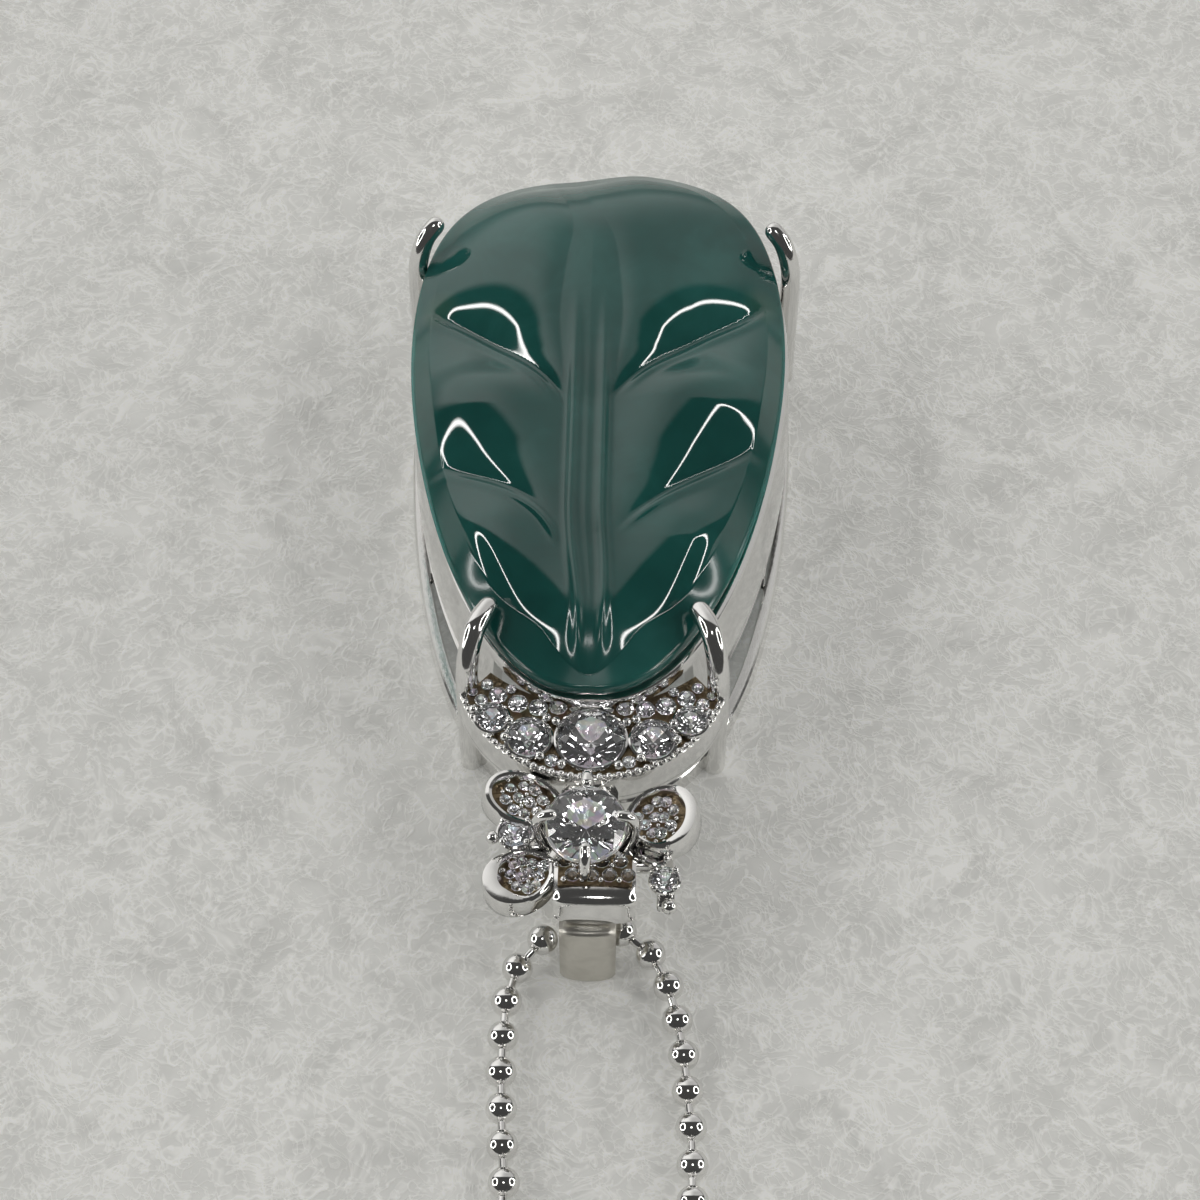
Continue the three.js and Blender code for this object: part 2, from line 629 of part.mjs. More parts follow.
const rightStrandFar = [
  [5.53, -36.3, 1.1], [5.91, -38.1, 0.7], [6.53, -39.8, 0.8], [7.31, -41.1, 1.1], [7.95, -41.9, 1.35],
];

function strand(points) {
  const path = new THREE.CatmullRomCurve3(points.map((p) => new THREE.Vector3(...p)));
  const section = new THREE.Shape();
  section.absarc(0, 0, CHAIN_DIAMETER / 2, 0, 2 * Math.PI);
  const steps = Math.ceil(path.getLength() / (1.7 * CHAIN_DIAMETER));
  return new THREE.ExtrudeGeometry(section, { extrudePath: path, steps, curveSegments: 4 });
}

addPiece('chain_left', strand(leftStrand), whiteMetal);
addPiece('chain_right', strand(rightStrandNear), whiteMetal);
addPiece('chain_to_clasp', strand(rightStrandFar), whiteMetal);

const ringHeight = 2 * CHAIN_DIAMETER;
const ringOuter = coilOuter + CHAIN_DIAMETER / 2;
const ringInner = coilInner - CHAIN_DIAMETER / 2;
const ringCorner = 0.35;
const ringProfile = [
  [ringInner, 0], [ringOuter - ringCorner, 0], [ringOuter, ringCorner], [ringOuter, ringHeight - ringCorner],
  [ringOuter - ringCorner, ringHeight], [ringInner, ringHeight], [ringInner, 0],
];
const coil = new THREE.LatheGeometry(ringProfile.map(([r, z]) => new THREE.Vector2(r, z)), 24);
coil.rotateX(Math.PI / 2);
coil.translate(0, COIL_MIDDLE, 0);
addPiece('chain_coil', coil, whiteMetal);

// The clasp: a barrel with a cap at each end, in line with the chain
const claspProfile = [
  [0, 0], [0.55, 0], [0.75, 0.5], [1.1, 0.7], [1.25, 1.2], [1.25, 3.2], [1.1, 3.5], [1.25, 3.8], [1.25, 5.8],
  [1.1, 6.3], [0.75, 6.5], [0.55, 7.0], [0, 7.0],
];
const clasp = new THREE.LatheGeometry(claspProfile.map(([r, h]) => new THREE.Vector2(r, h)), 8);
clasp.translate(0, 0.3, 0);
const claspPiece = addPiece('clasp', clasp, whiteMetal);
claspPiece.position.set(4.2, -28.75, 1.27);
claspPiece.rotation.z = -170.5 * degrees;

export default pendant;
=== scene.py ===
import math

import bmesh
import bpy
from mathutils import Matrix, Vector
from mathutils.geometry import interpolate_bezier


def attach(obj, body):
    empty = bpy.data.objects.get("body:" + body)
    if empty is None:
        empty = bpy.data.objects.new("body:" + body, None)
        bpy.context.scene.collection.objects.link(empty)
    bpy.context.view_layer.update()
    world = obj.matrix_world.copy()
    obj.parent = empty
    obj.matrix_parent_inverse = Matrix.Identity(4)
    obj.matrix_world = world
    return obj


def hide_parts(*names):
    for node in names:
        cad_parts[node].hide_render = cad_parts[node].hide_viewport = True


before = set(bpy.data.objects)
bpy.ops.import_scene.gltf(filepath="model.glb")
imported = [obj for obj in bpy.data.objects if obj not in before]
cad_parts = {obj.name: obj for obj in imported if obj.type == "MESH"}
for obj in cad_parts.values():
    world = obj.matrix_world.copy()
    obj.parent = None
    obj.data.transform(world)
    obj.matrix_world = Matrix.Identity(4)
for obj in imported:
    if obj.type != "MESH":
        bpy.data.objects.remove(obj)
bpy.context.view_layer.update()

# Camera. The pendant is photographed from its bail end, from well above and very close, and it is turned
# a little in the picture. The frame is square, and the focal length is given in widths of the picture.
MM = 0.001
FOCAL_LENGTH = 2800 / 1200
SENSOR_WIDTH = 36
CAMERA_DISTANCE = 119.5 * MM
camera_aim = Vector((0.11, 0.2, 0)) * MM
camera_lift = math.radians(54)
camera_turn = math.radians(1.3)
towards_camera = Vector((
    math.sin(camera_turn) * math.cos(camera_lift),
    -math.cos(camera_turn) * math.cos(camera_lift),
    math.sin(camera_lift),
))
camera_data = bpy.data.cameras.new("camera")
camera_data.sensor_width = SENSOR_WIDTH
camera_data.lens = FOCAL_LENGTH * SENSOR_WIDTH
camera_data.clip_start = 2 * MM
camera = bpy.data.objects.new("camera", camera_data)
camera.location = camera_aim + towards_camera * CAMERA_DISTANCE
camera.rotation_euler = towards_camera.to_track_quat("Z", "Y").to_euler()
bpy.context.scene.collection.objects.link(camera)
bpy.context.scene.camera = camera
bpy.context.scene.view_settings.view_transform = "Standard"


# Studio light. A wide pale wall stands behind the pendant, and what is polished mirrors it as light zones
# with sharp borders. The side of the camera is dark, but for a small lamp above the camera and two ring
# lamps left and right of the pendant, which show as thin white loops. Reaches and widths are in degrees.
WALL_LIGHT = 0.46
ROOM_LIGHT = 0.06
RING_LIGHT = 20
RING_REACH = 20
RING_HALF_WIDTH = 1.4
LAMP_LIGHT = 12
LIGHT_IF_SEEN = 0.7


class Shade:
    """A value in a tree of shader nodes. Arithmetic on it adds Math nodes to the tree."""

    def __init__(self, tree, socket=None):
        self.tree = tree
        self.socket = socket

    def feed(self, entry, value):
        if isinstance(value, Shade):
            self.tree.links.new(value.socket, entry)
        else:
            entry.default_value = value

    def node(self, kind, settings=None, inputs=None, output=0):
        made = self.tree.nodes.new(kind)
        for name, value in (settings or {}).items():
            if name == "stops":
                ramp = made.color_ramp.elements
                while len(ramp) < len(value):
                    ramp.new(0.5)
                for stop, (position, colour) in zip(ramp, value):
                    stop.position = position
                    stop.color = (*colour, 1)
            else:
                setattr(made, name, value)
        for name, value in (inputs or {}).items():
            self.feed(made.inputs[name], value)
        return Shade(self.tree, made.outputs[output] if made.outputs else None)

    def sum(self, operation, first, second=0.0, clamp=False):
        settings = {"operation": operation, "use_clamp": clamp}
        return self.node("ShaderNodeMath", settings, {0: first, 1: second})

    def __add__(self, other):
        return self.sum("ADD", self, other)

    def __sub__(self, other):
        return self.sum("SUBTRACT", self, other)

    def __rsub__(self, other):
        return self.sum("SUBTRACT", other, self)

    def __mul__(self, other):
        return self.sum("MULTIPLY", self, other)

    def __truediv__(self, other):
        return self.sum("DIVIDE", self, other)

    __radd__ = __add__
    __rmul__ = __mul__

    def clamped(self):
        return self.sum("ADD", self, 0.0, clamp=True)

    def mixed(self, first, second):
        """The first colour where this value is 0 and the second where it is 1."""
        return self.node("ShaderNodeMix", {"data_type": "RGBA"}, {0: self, 6: first, 7: second}, 2)


world = bpy.data.worlds.new("studio")
world.use_nodes = True
world.node_tree.nodes.clear()
room = Shade(world.node_tree)
bpy.context.scene.world = world
looking = room.node("ShaderNodeTexCoord", output=0)


def angle_from(axis):
    """Degrees between the direction that light comes from and an axis."""
    cosine = room.node(
        "ShaderNodeVectorMath", {"operation": "DOT_PRODUCT"}, {0: looking, 1: axis}, output=1)
    return room.sum("ARCCOSINE", cosine) * math.degrees(1)


def direction(azimuth, elevation):
    """From the pendant outwards: azimuth 0 is behind the camera and 90 is to its right."""
    flat = math.radians(azimuth) + camera_turn
    up = math.radians(elevation)
    return (math.sin(flat) * math.cos(up), -math.cos(flat) * math.cos(up), math.sin(up))


def ramped(value, low, high, at_low, at_high):
    settings = {"interpolation_type": "SMOOTHSTEP"}
    return room.node("ShaderNodeMapRange", settings, {0: value, 1: low, 2: high, 3: at_low, 4: at_high})


from_back = angle_from(direction(180, 10))
brighter_middle = ramped(from_back, 8, 40, 0.3, 0)
brighter_left = ramped(angle_from(direction(-125, 35)), 15, 55, 0.5, 0)
wall = WALL_LIGHT + brighter_middle + brighter_left
near_horizon = ramped(angle_from((0, 0, 1)), 76, 88, 1, 0.45)
glow = wall * near_horizon * ramped(from_back, 58, 62.5, 1, 0) + ROOM_LIGHT
for azimuth, elevation in ((-86, 24), (86, 26)):
    off_ring = room.sum("ABSOLUTE", angle_from(direction(azimuth, elevation)) - RING_REACH)
    glow = glow + (1 - off_ring / RING_HALF_WIDTH).clamped() * RING_LIGHT
glow = glow + ramped(angle_from(direction(0, 69)), 3.0, 4.5, LAMP_LIGHT, 0)
seen_directly = room.node("ShaderNodeLightPath", output=0)
strength = glow * (1 - seen_directly) + seen_directly * LIGHT_IF_SEEN
backdrop = room.node("ShaderNodeBackground", None, {"Color": (1, 0.99, 0.97, 1), "Strength": strength})
room.node("ShaderNodeOutputWorld", None, {"Surface": backdrop})


# Floor. A pale felt-like board with short fibres, plain and without an edge in the picture. It gives a
# little light of its own, to be nearly as pale as in the photograph.
FLOOR_HALF = 0.6


def finish(name):
    """A new material. Returns it, its tree of nodes and its surface."""
    material = bpy.data.materials.new(name)
    material.use_nodes = True
    return material, Shade(material.node_tree), material.node_tree.nodes["Principled BSDF"].inputs


def places(shade):
    """Object coordinates, in metres."""
    return shade.node("ShaderNodeTexCoord", output=3)


def noise(shade, scale, detail=3.0, distortion=0.0):
    inputs = {"Vector": places(shade), "Scale": scale, "Detail": detail, "Distortion": distortion}
    return shade.node("ShaderNodeTexNoise", None, inputs)


def bumped(shade, height, distance, strength):
    return shade.node(
        "ShaderNodeBump", None, {"Strength": strength, "Distance": distance, "Height": height})


floor_cloth, shade, surface = finish("floor_cloth")
tufts = noise(shade, 300, 4, 1.2)
tone = (tufts - 0.5) * 1.2 + 0.46
for scale, level in ((420, 0.5), (650, 0.46), (900, 0.54)):
    off_strand = shade.sum("ABSOLUTE", noise(shade, scale, 2, 1.8) - level)
    tone = tone + (1 - off_strand * 24).clamped() * 0.34
tone = tone.clamped()
surface["Roughness"].default_value = 0.95
cloth_colour = tone.mixed((0.62, 0.62, 0.595, 1), (0.94, 0.94, 0.91, 1))
shade.feed(surface["Base Color"], cloth_colour)
shade.feed(surface["Emission Color"], cloth_colour)
surface["Emission Strength"].default_value = 0.12
shade.feed(surface["Normal"], bumped(shade, tone, 0.12 * MM, 0.4))
floor_sheet = bmesh.new()
bmesh.ops.create_grid(floor_sheet, x_segments=1, y_segments=1, size=FLOOR_HALF)
floor_mesh = bpy.data.meshes.new("floor")
floor_sheet.to_mesh(floor_mesh)
floor_sheet.free()
floor_mesh.materials.append(floor_cloth)
floor = bpy.data.objects.new("floor", floor_mesh)
bpy.context.scene.collection.objects.link(floor)


# Ball chain. Hollow balls of white metal, each with a hole at both ends through which a short pin joins it
# to the next. The chain is one line: out of the bail's left side, round the coil and back through the
# clasp into the bail's right side.
BALL = 1.2 * MM
BALL_PITCH = 1.5 * MM
FIRST_BALL = 1.75 * MM
PIN_RADIUS = 0.17 * MM
ON_SURFACE = BALL / 2
VIEW_EDGE = -30 * MM
COIL_MIDDLE = Vector((0, -50, 0)) * MM
COIL_OUTER = 9.874 * MM
COIL_INNER = 4.5 * MM
TURNS_IN = 4
TURNS_OUT = 4.5
TURN_STEPS = 16

# The strands, in millimetres
left_strand = [
    (-0.1, -16.75, 1.4), (-1.1, -16.7, 1.34), (-1.85, -16.95, 0.95), (-2.6, -17.75, 0.6), (-3.0, -19.1, 0.6),
    (-3.11, -20.66, 0.6), (-3.13, -22.28, 0.6), (-3.05, -23.82, 0.6), (-2.95, -25.31, 0.6),
    (-2.82, -27.0, 0.6), (-3.07, -29.4, 0.6), (-3.96, -32.4, 0.6), (-5.31, -35.6, 0.6), (-6.8, -38.8, 0.6),
    (-8.15, -42.0, 0.6), (-9.2, -45.8, 0.6),
]
right_strand = [
    (9.55, -46.4, 1.75), (8.85, -43.6, 1.6), (7.95, -41.9, 1.35), (7.31, -41.1, 1.1), (6.53, -39.8, 0.8),
    (5.91, -38.1, 0.7), (5.53, -36.3, 1.1), (5.28, -34.9, 1.27), (4.79, -32.0, 1.27), (4.44, -30.0, 1.25),
    (4.19, -28.7, 1.1), (4.13, -27.2, 0.65), (4.12, -25.8, 0.6), (4.06, -24.31, 0.6), (3.92, -22.86, 0.6),
    (3.76, -21.42, 0.6), (3.51, -19.95, 0.6), (3.18, -18.6, 0.6), (2.7, -17.6, 0.6), (2.1, -16.9, 0.95),
    (1.3, -16.6, 1.34), (0.35, -16.75, 1.4),
]


def coil_turns():
    """Four turns inwards on the surface and four and a half outwards on top of them."""
    points = []
    for step in range(int((TURNS_IN + TURNS_OUT) * TURN_STEPS) + 1):
        turn = step / TURN_STEPS
        if turn <= TURNS_IN:
            reach = COIL_OUTER - (COIL_OUTER - COIL_INNER) * turn / TURNS_IN
        else:
            reach = COIL_INNER + (COIL_OUTER - COIL_INNER) * (turn - TURNS_IN) / TURNS_OUT
        climb = min(1, max(0, (turn - 3.8) / 0.4))
        heading = math.pi + 2 * math.pi * turn
        points.append(COIL_MIDDLE + Vector((
            reach * math.cos(heading),
            reach * math.sin(heading),
            ON_SURFACE + BALL * climb,
        )))
    return points


def smooth_line(points, parts):
    """A smooth line through points, cut in so many parts between each two."""
    line = [points[0]]
    for i in range(len(points) - 1):
        before, a, b, after = (points[max(0, min(len(points) - 1, i + k))] for k in (-1, 0, 1, 2))
        line += interpolate_bezier(a, a + (b - before) / 6, b - (after - a) / 6, b, parts + 1)[1:]
    return line


def spaced(line, pitch, start):
    """Points at equal distances along a line, each with the direction there."""
    found = []
    due = start
    gone = 0.0
    for a, b in zip(line, line[1:]):
        length = (b - a).length
        while due <= gone + length:
            found.append((a.lerp(b, (due - gone) / length), (b - a).normalized()))
            due += pitch
        gone += length
    return found


def facing(point, heading):
    """The place of a form whose own upright axis points along a heading."""
    return Matrix.Translation(point) @ heading.to_track_quat("Z", "Y").to_matrix().to_4x4()


def finished(name, part, material, slot, *nodes, sharp=40):
    """Makes a piece of a finished bmesh. It rides on the pendant and stands for the CAD nodes named."""
    bmesh.ops.recalc_face_normals(part, faces=part.faces)
    mesh = bpy.data.meshes.new(name)
    part.to_mesh(mesh)
    part.free()
    mesh.shade_smooth()
    mesh.set_sharp_from_angle(angle=math.radians(sharp))
    mesh.materials.append(material)
    piece = bpy.data.objects.new(name, mesh)
    bpy.context.scene.collection.objects.link(piece)
    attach(piece, "root")
    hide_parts(*nodes)
    return piece


white_metal, shade, surface = finish("white_metal")
wear = noise(shade, 700, 4)
hairlines = noise(shade, 4200, 3)
surface["Metallic"].default_value = 1
shade.feed(surface["Base Color"], wear.mixed((0.74, 0.735, 0.72, 1), (0.86, 0.855, 0.84, 1)))
shade.feed(surface["Roughness"], 0.05 + wear * 0.10)
shade.feed(surface["Normal"], bumped(shade, hairlines, 0.01 * MM, 0.25))

route = smooth_line([Vector(p) * MM for p in left_strand] + coil_turns()
                    + [Vector(p) * MM for p in right_strand], 5)
chain = bmesh.new()
balls = spaced(route, BALL_PITCH, FIRST_BALL)
for point, heading in balls:
    segments, rings = (24, 16) if point.y > VIEW_EDGE else (9, 6)
    bmesh.ops.create_uvsphere(
        chain, u_segments=segments, v_segments=rings, radius=BALL / 2, matrix=facing(point, heading))
for (a, _), (b, _) in zip(balls, balls[1:]):
    bmesh.ops.create_cone(
        chain, segments=12 if a.y > VIEW_EDGE else 5, radius1=PIN_RADIUS, radius2=PIN_RADIUS,
        depth=(b - a).length, matrix=facing((a + b) / 2, b - a))
ball_chain = finished(
    "ball_chain", chain, white_metal, "white_metal",
    "chain_left", "chain_right", "chain_to_clasp", "chain_coil")


# Clasp. A barrel clasp of the same metal: two turned halves that screw into each other, with a fine
# milled band round each for the fingers. It isn't in the photograph.
GRIP_BARS = 36
grip_middles = (2.05, 4.95)
clasp_profile = [
    (0, 0), (0.5, 0), (0.58, 0.08), (0.62, 0.4), (0.95, 0.62), (1.18, 0.85), (1.22, 1.0), (1.22, 3.1),
    (1.16, 3.3), (1.02, 3.42), (1.02, 3.58), (1.16, 3.7), (1.22, 3.9), (1.22, 6.0), (1.18, 6.15),
    (0.95, 6.38), (0.62, 6.6), (0.58, 6.92), (0.5, 7.0), (0, 7.0),
]
clasp_heading = Vector((0.165, -0.986, 0))
clasp_start = Vector((4.2, -28.75, 1.27)) * MM + clasp_heading * 0.3 * MM


def added(whole, part, place=None):
    """Puts a part into a larger bmesh, moved and turned to its place."""
    if place is not None:
        bmesh.ops.transform(part, matrix=place, verts=part.verts)
    loose = bpy.data.meshes.new("loose")
    part.to_mesh(loose)
    part.free()
    whole.from_mesh(loose)
    bpy.data.meshes.remove(loose)


def turned(profile, steps=32):
    """A turned form: a profile of radii and heights, spun round the upright axis."""
    part = bmesh.new()
    line = [part.verts.new((radius, 0, height)) for radius, height in profile]
    edges = [part.edges.new(pair) for pair in zip(line, line[1:])]
    bmesh.ops.spin(
        part, geom=line + edges, cent=(0, 0, 0), axis=(0, 0, 1), angle=2 * math.pi, steps=steps,
        use_merge=True)
    bmesh.ops.remove_doubles(part, verts=part.verts, dist=0.001 * MM)
    return part


clasp = turned([(r * MM, h * MM) for r, h in clasp_profile], 40)
grip = bmesh.new()
for middle in grip_middles:
    for step in range(GRIP_BARS):
        about = Matrix.Rotation(2 * math.pi * step / GRIP_BARS, 4, "Z")
        bmesh.ops.create_cube(
            grip, size=1,
            matrix=about @ Matrix.Translation((1.21 * MM, 0, middle * MM))
            @ Matrix.Diagonal((0.08 * MM, 0.1 * MM, 1.5 * MM, 1)))
added(clasp, grip)
bmesh.ops.transform(clasp, matrix=facing(clasp_start, clasp_heading), verts=clasp.verts)
barrel_clasp = finished("barrel_clasp", clasp, white_metal, "white_metal", "clasp")


# The leaf. One piece of jadeite, cut to an egg outline, bevelled all round and carved on top with a midrib
# of two ridges and with side veins that part it into swelling lobes. It is polished all over.
# From here on, sizes without MM are in millimetres.
LEAF_TIP = -9.05
LEAF_FAR = 17.85
LEAF_HALF = 7.95
LEAF_WIDEST = 8.75
LEAF_SHIFT = -0.15
LEAF_EDGE = 7.65
LEAF_TOP = 10.4
LEAF_BLUNTNESS = 4.95
UNDERSIDE = 5.3
LEAF_ROUND = 480
LEAF_ROWS = 120
DOME_ROWS = 100
CREST_LOW = LEAF_TIP + 5.4
CREST_HIGH = LEAF_FAR - 7
BEVEL_WIDTH = 0.85
MIDRIB_HALF = 0.92
RIDGE_HEIGHT = 0.24
RIB_HEIGHT = 0.1
CARVING_DEPTH = 1.75
STEEPEST = math.radians(62)
groove_spread = {-1: 0.3, 1: 1.5}

# Start and end of each side vein up the leaf, how far out it reaches, how it bends, and how wide the
# flanks are: the steep one above it and the gentle one below it
side_veins = {
    -1: [(3.8, 10.1, 6.4, 1.36, 6.6, 5.6), (-3.4, 1.5, 5.4, 2.2, 4.2, 4)],
    1: [(4.1, 10.75, 6.35, 1.2, 6.6, 5.6), (-2.6, 2.65, 5.5, 1.1, 4.3, 4)],
}

# Rows over the bevel by their share of its width, and then over the girdle to the flat underside: how far
# in from the outline, how high, and how far they follow the rim's rise
bevel_rows = [0.05, 0.3, 0.6, 0.9]
edge_rows = [
    (0.1, 6.95, 1), (0.04, 6.87, 1), (0, 6.75, 1), (0, 6.6, 0.8), (0.02, 6.48, 0.5), (0.1, 6.42, 0.3),
    (0.6, 6.24, 0), (0.7, 6.15, 0), (1.5, UNDERSIDE + 0.04, 0), (1.58, UNDERSIDE, 0), (2.5, UNDERSIDE, 0),
    (4.5, UNDERSIDE, 0), (6.5, UNDERSIDE, 0),
]


def egg_outline(grow, bluntness, reach, pieces):
    """Half of the egg outline, from the tip up the right side to the wide end, at equal distances."""
    half = LEAF_HALF + grow
    tip = LEAF_TIP - grow - reach
    far = LEAF_FAR + grow
    lower = [(0, tip), (bluntness, tip - 0.6), (half, LEAF_WIDEST - 6.2), (half, LEAF_WIDEST)]
    upper = [(half, LEAF_WIDEST), (half, LEAF_WIDEST + 6.9), (0.66 * half, far), (0, far)]
    line = []
    for arc in (lower, upper):
        line += interpolate_bezier(*(Vector((x, y, 0)) for x, y in arc), 200)[len(line) > 0:]
    length = sum((b - a).length for a, b in zip(line, line[1:]))
    return [point for point, _ in spaced(line, length / pieces * (1 - 1e-9), 0)][:pieces + 1]


def clamp01(t):
    return min(1.0, max(0.0, t))


def soft(t):
    return clamp01(t) ** 2 * (3 - 2 * clamp01(t))


def hump(distance, width):
    return math.exp(-((distance / width) ** 2))


def bevel_width(edge):
    """The bevel is widest along both sides of the tip, so that the carved face ends there in a point."""
    near_tip = soft((4 - edge.y) / 4)
    tip_share = 0.8 * hump(edge.x - 2.8, 1.6) - 0.3 * hump(edge.x, 0.7)
    return BEVEL_WIDTH + tip_share * near_tip + 0.15 * soft((edge.y - 12) / 4)


def rim_rise(x, y):
    """The stone's rim rises at the wide end, more on the right of the notch."""
    return soft((y - 11) / 5.5) * (0.35 + 0.5 * soft((x + 1.5) / 3.5))


def rounded_flank(t):
    """From 0 at a crease to 1 where the surface is level, along an arc of a circle."""
    across = (1 - clamp01(t)) * math.sin(STEEPEST)
    return (math.sqrt(1 - across * across) - math.cos(STEEPEST)) / (1 - math.cos(STEEPEST))


def midrib_lean(y):
    """The midrib lies a little left of the middle, above the tip."""
    return 0.3 * soft((y + 6) / 5)


def above_vein(vein, x, y):
    """Distance to a vein, positive on the side that lies nearer the wide end."""
    start, end, reach, bend, *_ = vein
    across = abs(x + midrib_lean(y) * max(0.0, 1 - (x / 6) ** 2))
    along = max(1e-6, (y - start) / (end - start))
    at = MIDRIB_HALF + reach * along ** bend
    slope = reach * bend * along ** (bend - 1) / (end - start) * soft((y - start) / 3)
    return (at - across) / math.hypot(1, slope)


def valley(side, x, y, beside_groove, groove, depth):
    """How deep one half is cut below the dome. Each vein keeps a thin rib at the foot of its crease."""
    groove_reach = 1.5 * (1 + groove_spread[side] * soft((y - 8) / 6))
    full = 1 - groove * math.exp(-beside_groove / groove_reach)
    rib = 0.0
    for vein in side_veins[side]:
        start, *_, steep_flank, gentle_flank = vein
        above = above_vein(vein, x, y)
        below = clamp01(-above / gentle_flank)
        full *= rounded_flank(above / steep_flank) if above > 0 else 1 - (1 - below) ** 1.3
        rib += soft((y - start) / 1.5) * hump(above + 0.35, 0.22)
    return depth * (1 - full) - RIB_HEIGHT * clamp01(rib)


def carved_height(x, y, outward, wider):
    """Height of the carved top, where outward runs from 0 at the crest to 1 at the bevel. A wider bevel
    starts higher."""
    midrib_x = -1.2 * soft((y - 12) / 5) - midrib_lean(y)
    rim = LEAF_EDGE - 0.2 * soft((2 - y) / 11) + rim_rise(x, y) + 0.42 * wider
    fullness = 2.8 + 1.3 * soft((2 - y) / 6)
    dome = rim + (LEAF_TOP - rim) * (1 - outward ** fullness)
    fall = 0.6 * soft((6 - y) / 14) * (1 - outward ** 3)
    beside = abs(x - midrib_x)
    midrib_half = MIDRIB_HALF + 0.4 * hump(y - 8.5, 3) - 0.4 * soft((y - 11) / 4)
    beside_groove = max(0.0, beside - midrib_half)
    groove = 0.7 - 0.4 * soft((y - 4) / 12)
    depth = CARVING_DEPTH * (1 - 0.35 * outward ** 3)
    depth *= 1 + 0.25 * soft((y - 4) / 4) * soft((beside - 1.2) / 3)
    left = valley(-1, x, y, beside_groove, groove, depth)
    right = valley(1, x, y, beside_groove, groove, depth)
    cut = left + (right - left) * soft((x - midrib_x) / 0.8 + 0.5)
    apart = 0.62 - 0.14 * soft((-3 - y) / 4)
    ridge = hump(beside - apart, 0.22) * soft((10 - y) / 6) * soft((y + 8.9) / 1.6)
    return dome - fall - cut * (1 - 0.6 * outward ** 8) + RIDGE_HEIGHT * ridge * (1 - outward ** 4)


def steeper(y):
    """How much lower the bevel's foot lies along both sides."""
    return 0.45 * soft((12 - y) / 4) * soft((y + 6) / 4)


half_outline = egg_outline(0, LEAF_BLUNTNESS, 0, LEAF_ROUND // 2)


def leaf_point(step, row):
    """A point of the leaf: round its outline from the tip, and out from the crest, over and under."""
    on_left = step <= LEAF_ROUND // 2
    edge = half_outline[step if on_left else LEAF_ROUND - step]
    crest = CREST_LOW + (CREST_HIGH - CREST_LOW) * (edge.y - LEAF_TIP) / (LEAF_FAR - LEAF_TIP)
    reach = math.hypot(edge.x, edge.y - crest)
    side = -1 if on_left else 1

    def at(share):
        return edge.x * share * side, crest + (edge.y - crest) * share

    width = bevel_width(edge)
    bevel_row = row - DOME_ROWS - 1
    edge_row = bevel_row - len(bevel_rows)
    if bevel_row < 0:
        x, y = at(row / DOME_ROWS * (1 - width / reach))
        height = carved_height(x, y, row / DOME_ROWS, width - BEVEL_WIDTH)
    elif edge_row < 0:
        along = bevel_rows[bevel_row]
        inner = at(1 - width / reach)
        top = carved_height(*inner, 1, width - BEVEL_WIDTH)
        inset, foot, _ = edge_rows[0]
        outer = at(1 - inset / reach)
        x, y = (a + (b - a) * along for a, b in zip(inner, outer))
        height = top + (foot + rim_rise(*outer) - steeper(y) - top) * along
    elif edge_row < len(edge_rows):
        inset, height, follows = edge_rows[edge_row]
        x, y = at(max(0.0, 1 - inset / reach))
        height += follows * rim_rise(x, y)
        height -= steeper(y) * clamp01((height - 6.4) / 0.55)
    else:
        x, y = at(0)
        height = UNDERSIDE
    return Vector((x + LEAF_SHIFT, y, height)) * MM


def mattness(row, x, y):
    """How far the polish is from a mirror's: 1 from the bevel down, and more in the midrib's groove."""
    if row > DOME_ROWS:
        return 1.0
    return 1.6 * hump(x - LEAF_SHIFT + midrib_lean(y), 0.8) * soft((13 - y) / 6)


leaf = bmesh.new()
bmesh.ops.create_grid(leaf, x_segments=LEAF_ROUND, y_segments=LEAF_ROWS, size=0.5)
matt = leaf.verts.layers.float.new("matt")
for vert in leaf.verts:
    row = round((vert.co.y + 0.5) * LEAF_ROWS)
    vert.co = leaf_point(round((vert.co.x + 0.5) * LEAF_ROUND), row)
    x, y, _ = vert.co / MM
    vert[matt] = mattness(row, x, y)
bmesh.ops.remove_doubles(leaf, verts=leaf.verts, dist=0.004 * MM)

# Bluish green with clouds and fine veils, and paler and yellower at the first veins' outer ends
PALE_REACH = 1.3 * MM
pale_spots = ((-7.3, 10.0, 8.0), (7.1, 10.6, 8.0))
jade, shade, surface = finish("jade")
clouds = noise(shade, 130, 3, 0.6)
veils = noise(shade, 420, 5, 1.5)
depth_tone = (clouds * 1.3 + veils * 0.35 - 0.35).clamped()
body_colour = shade.node("ShaderNodeValToRGB", {"stops": [
    (0.15, (0.005, 0.067, 0.058)), (0.5, (0.010, 0.095, 0.082)), (0.85, (0.026, 0.150, 0.132)),
]}, {0: depth_tone})
pale = 0.0
for spot in pale_spots:
    gap = shade.node(
        "ShaderNodeVectorMath", {"operation": "DISTANCE"}, {0: places(shade), 1: Vector(spot) * MM}, 1)
    pale = pale + (1 - gap / PALE_REACH).clamped() * 0.5
shade.feed(surface["Base Color"], pale.mixed(body_colour, (0.16, 0.24, 0.13, 1)))
less_polished = shade.node("ShaderNodeAttribute", {"attribute_name": "matt"}, output=2)
shade.feed(surface["Roughness"], 0.04 + less_polished * 0.12)
surface["Subsurface Weight"].default_value = 0.35
surface["Subsurface Radius"].default_value = (0.5, 1.0, 0.85)
surface["Subsurface Scale"].default_value = 1.6 * MM
surface["IOR"].default_value = 1.66
finished("carved_leaf", leaf, jade, "jade", "jadeite_leaf", sharp=70)


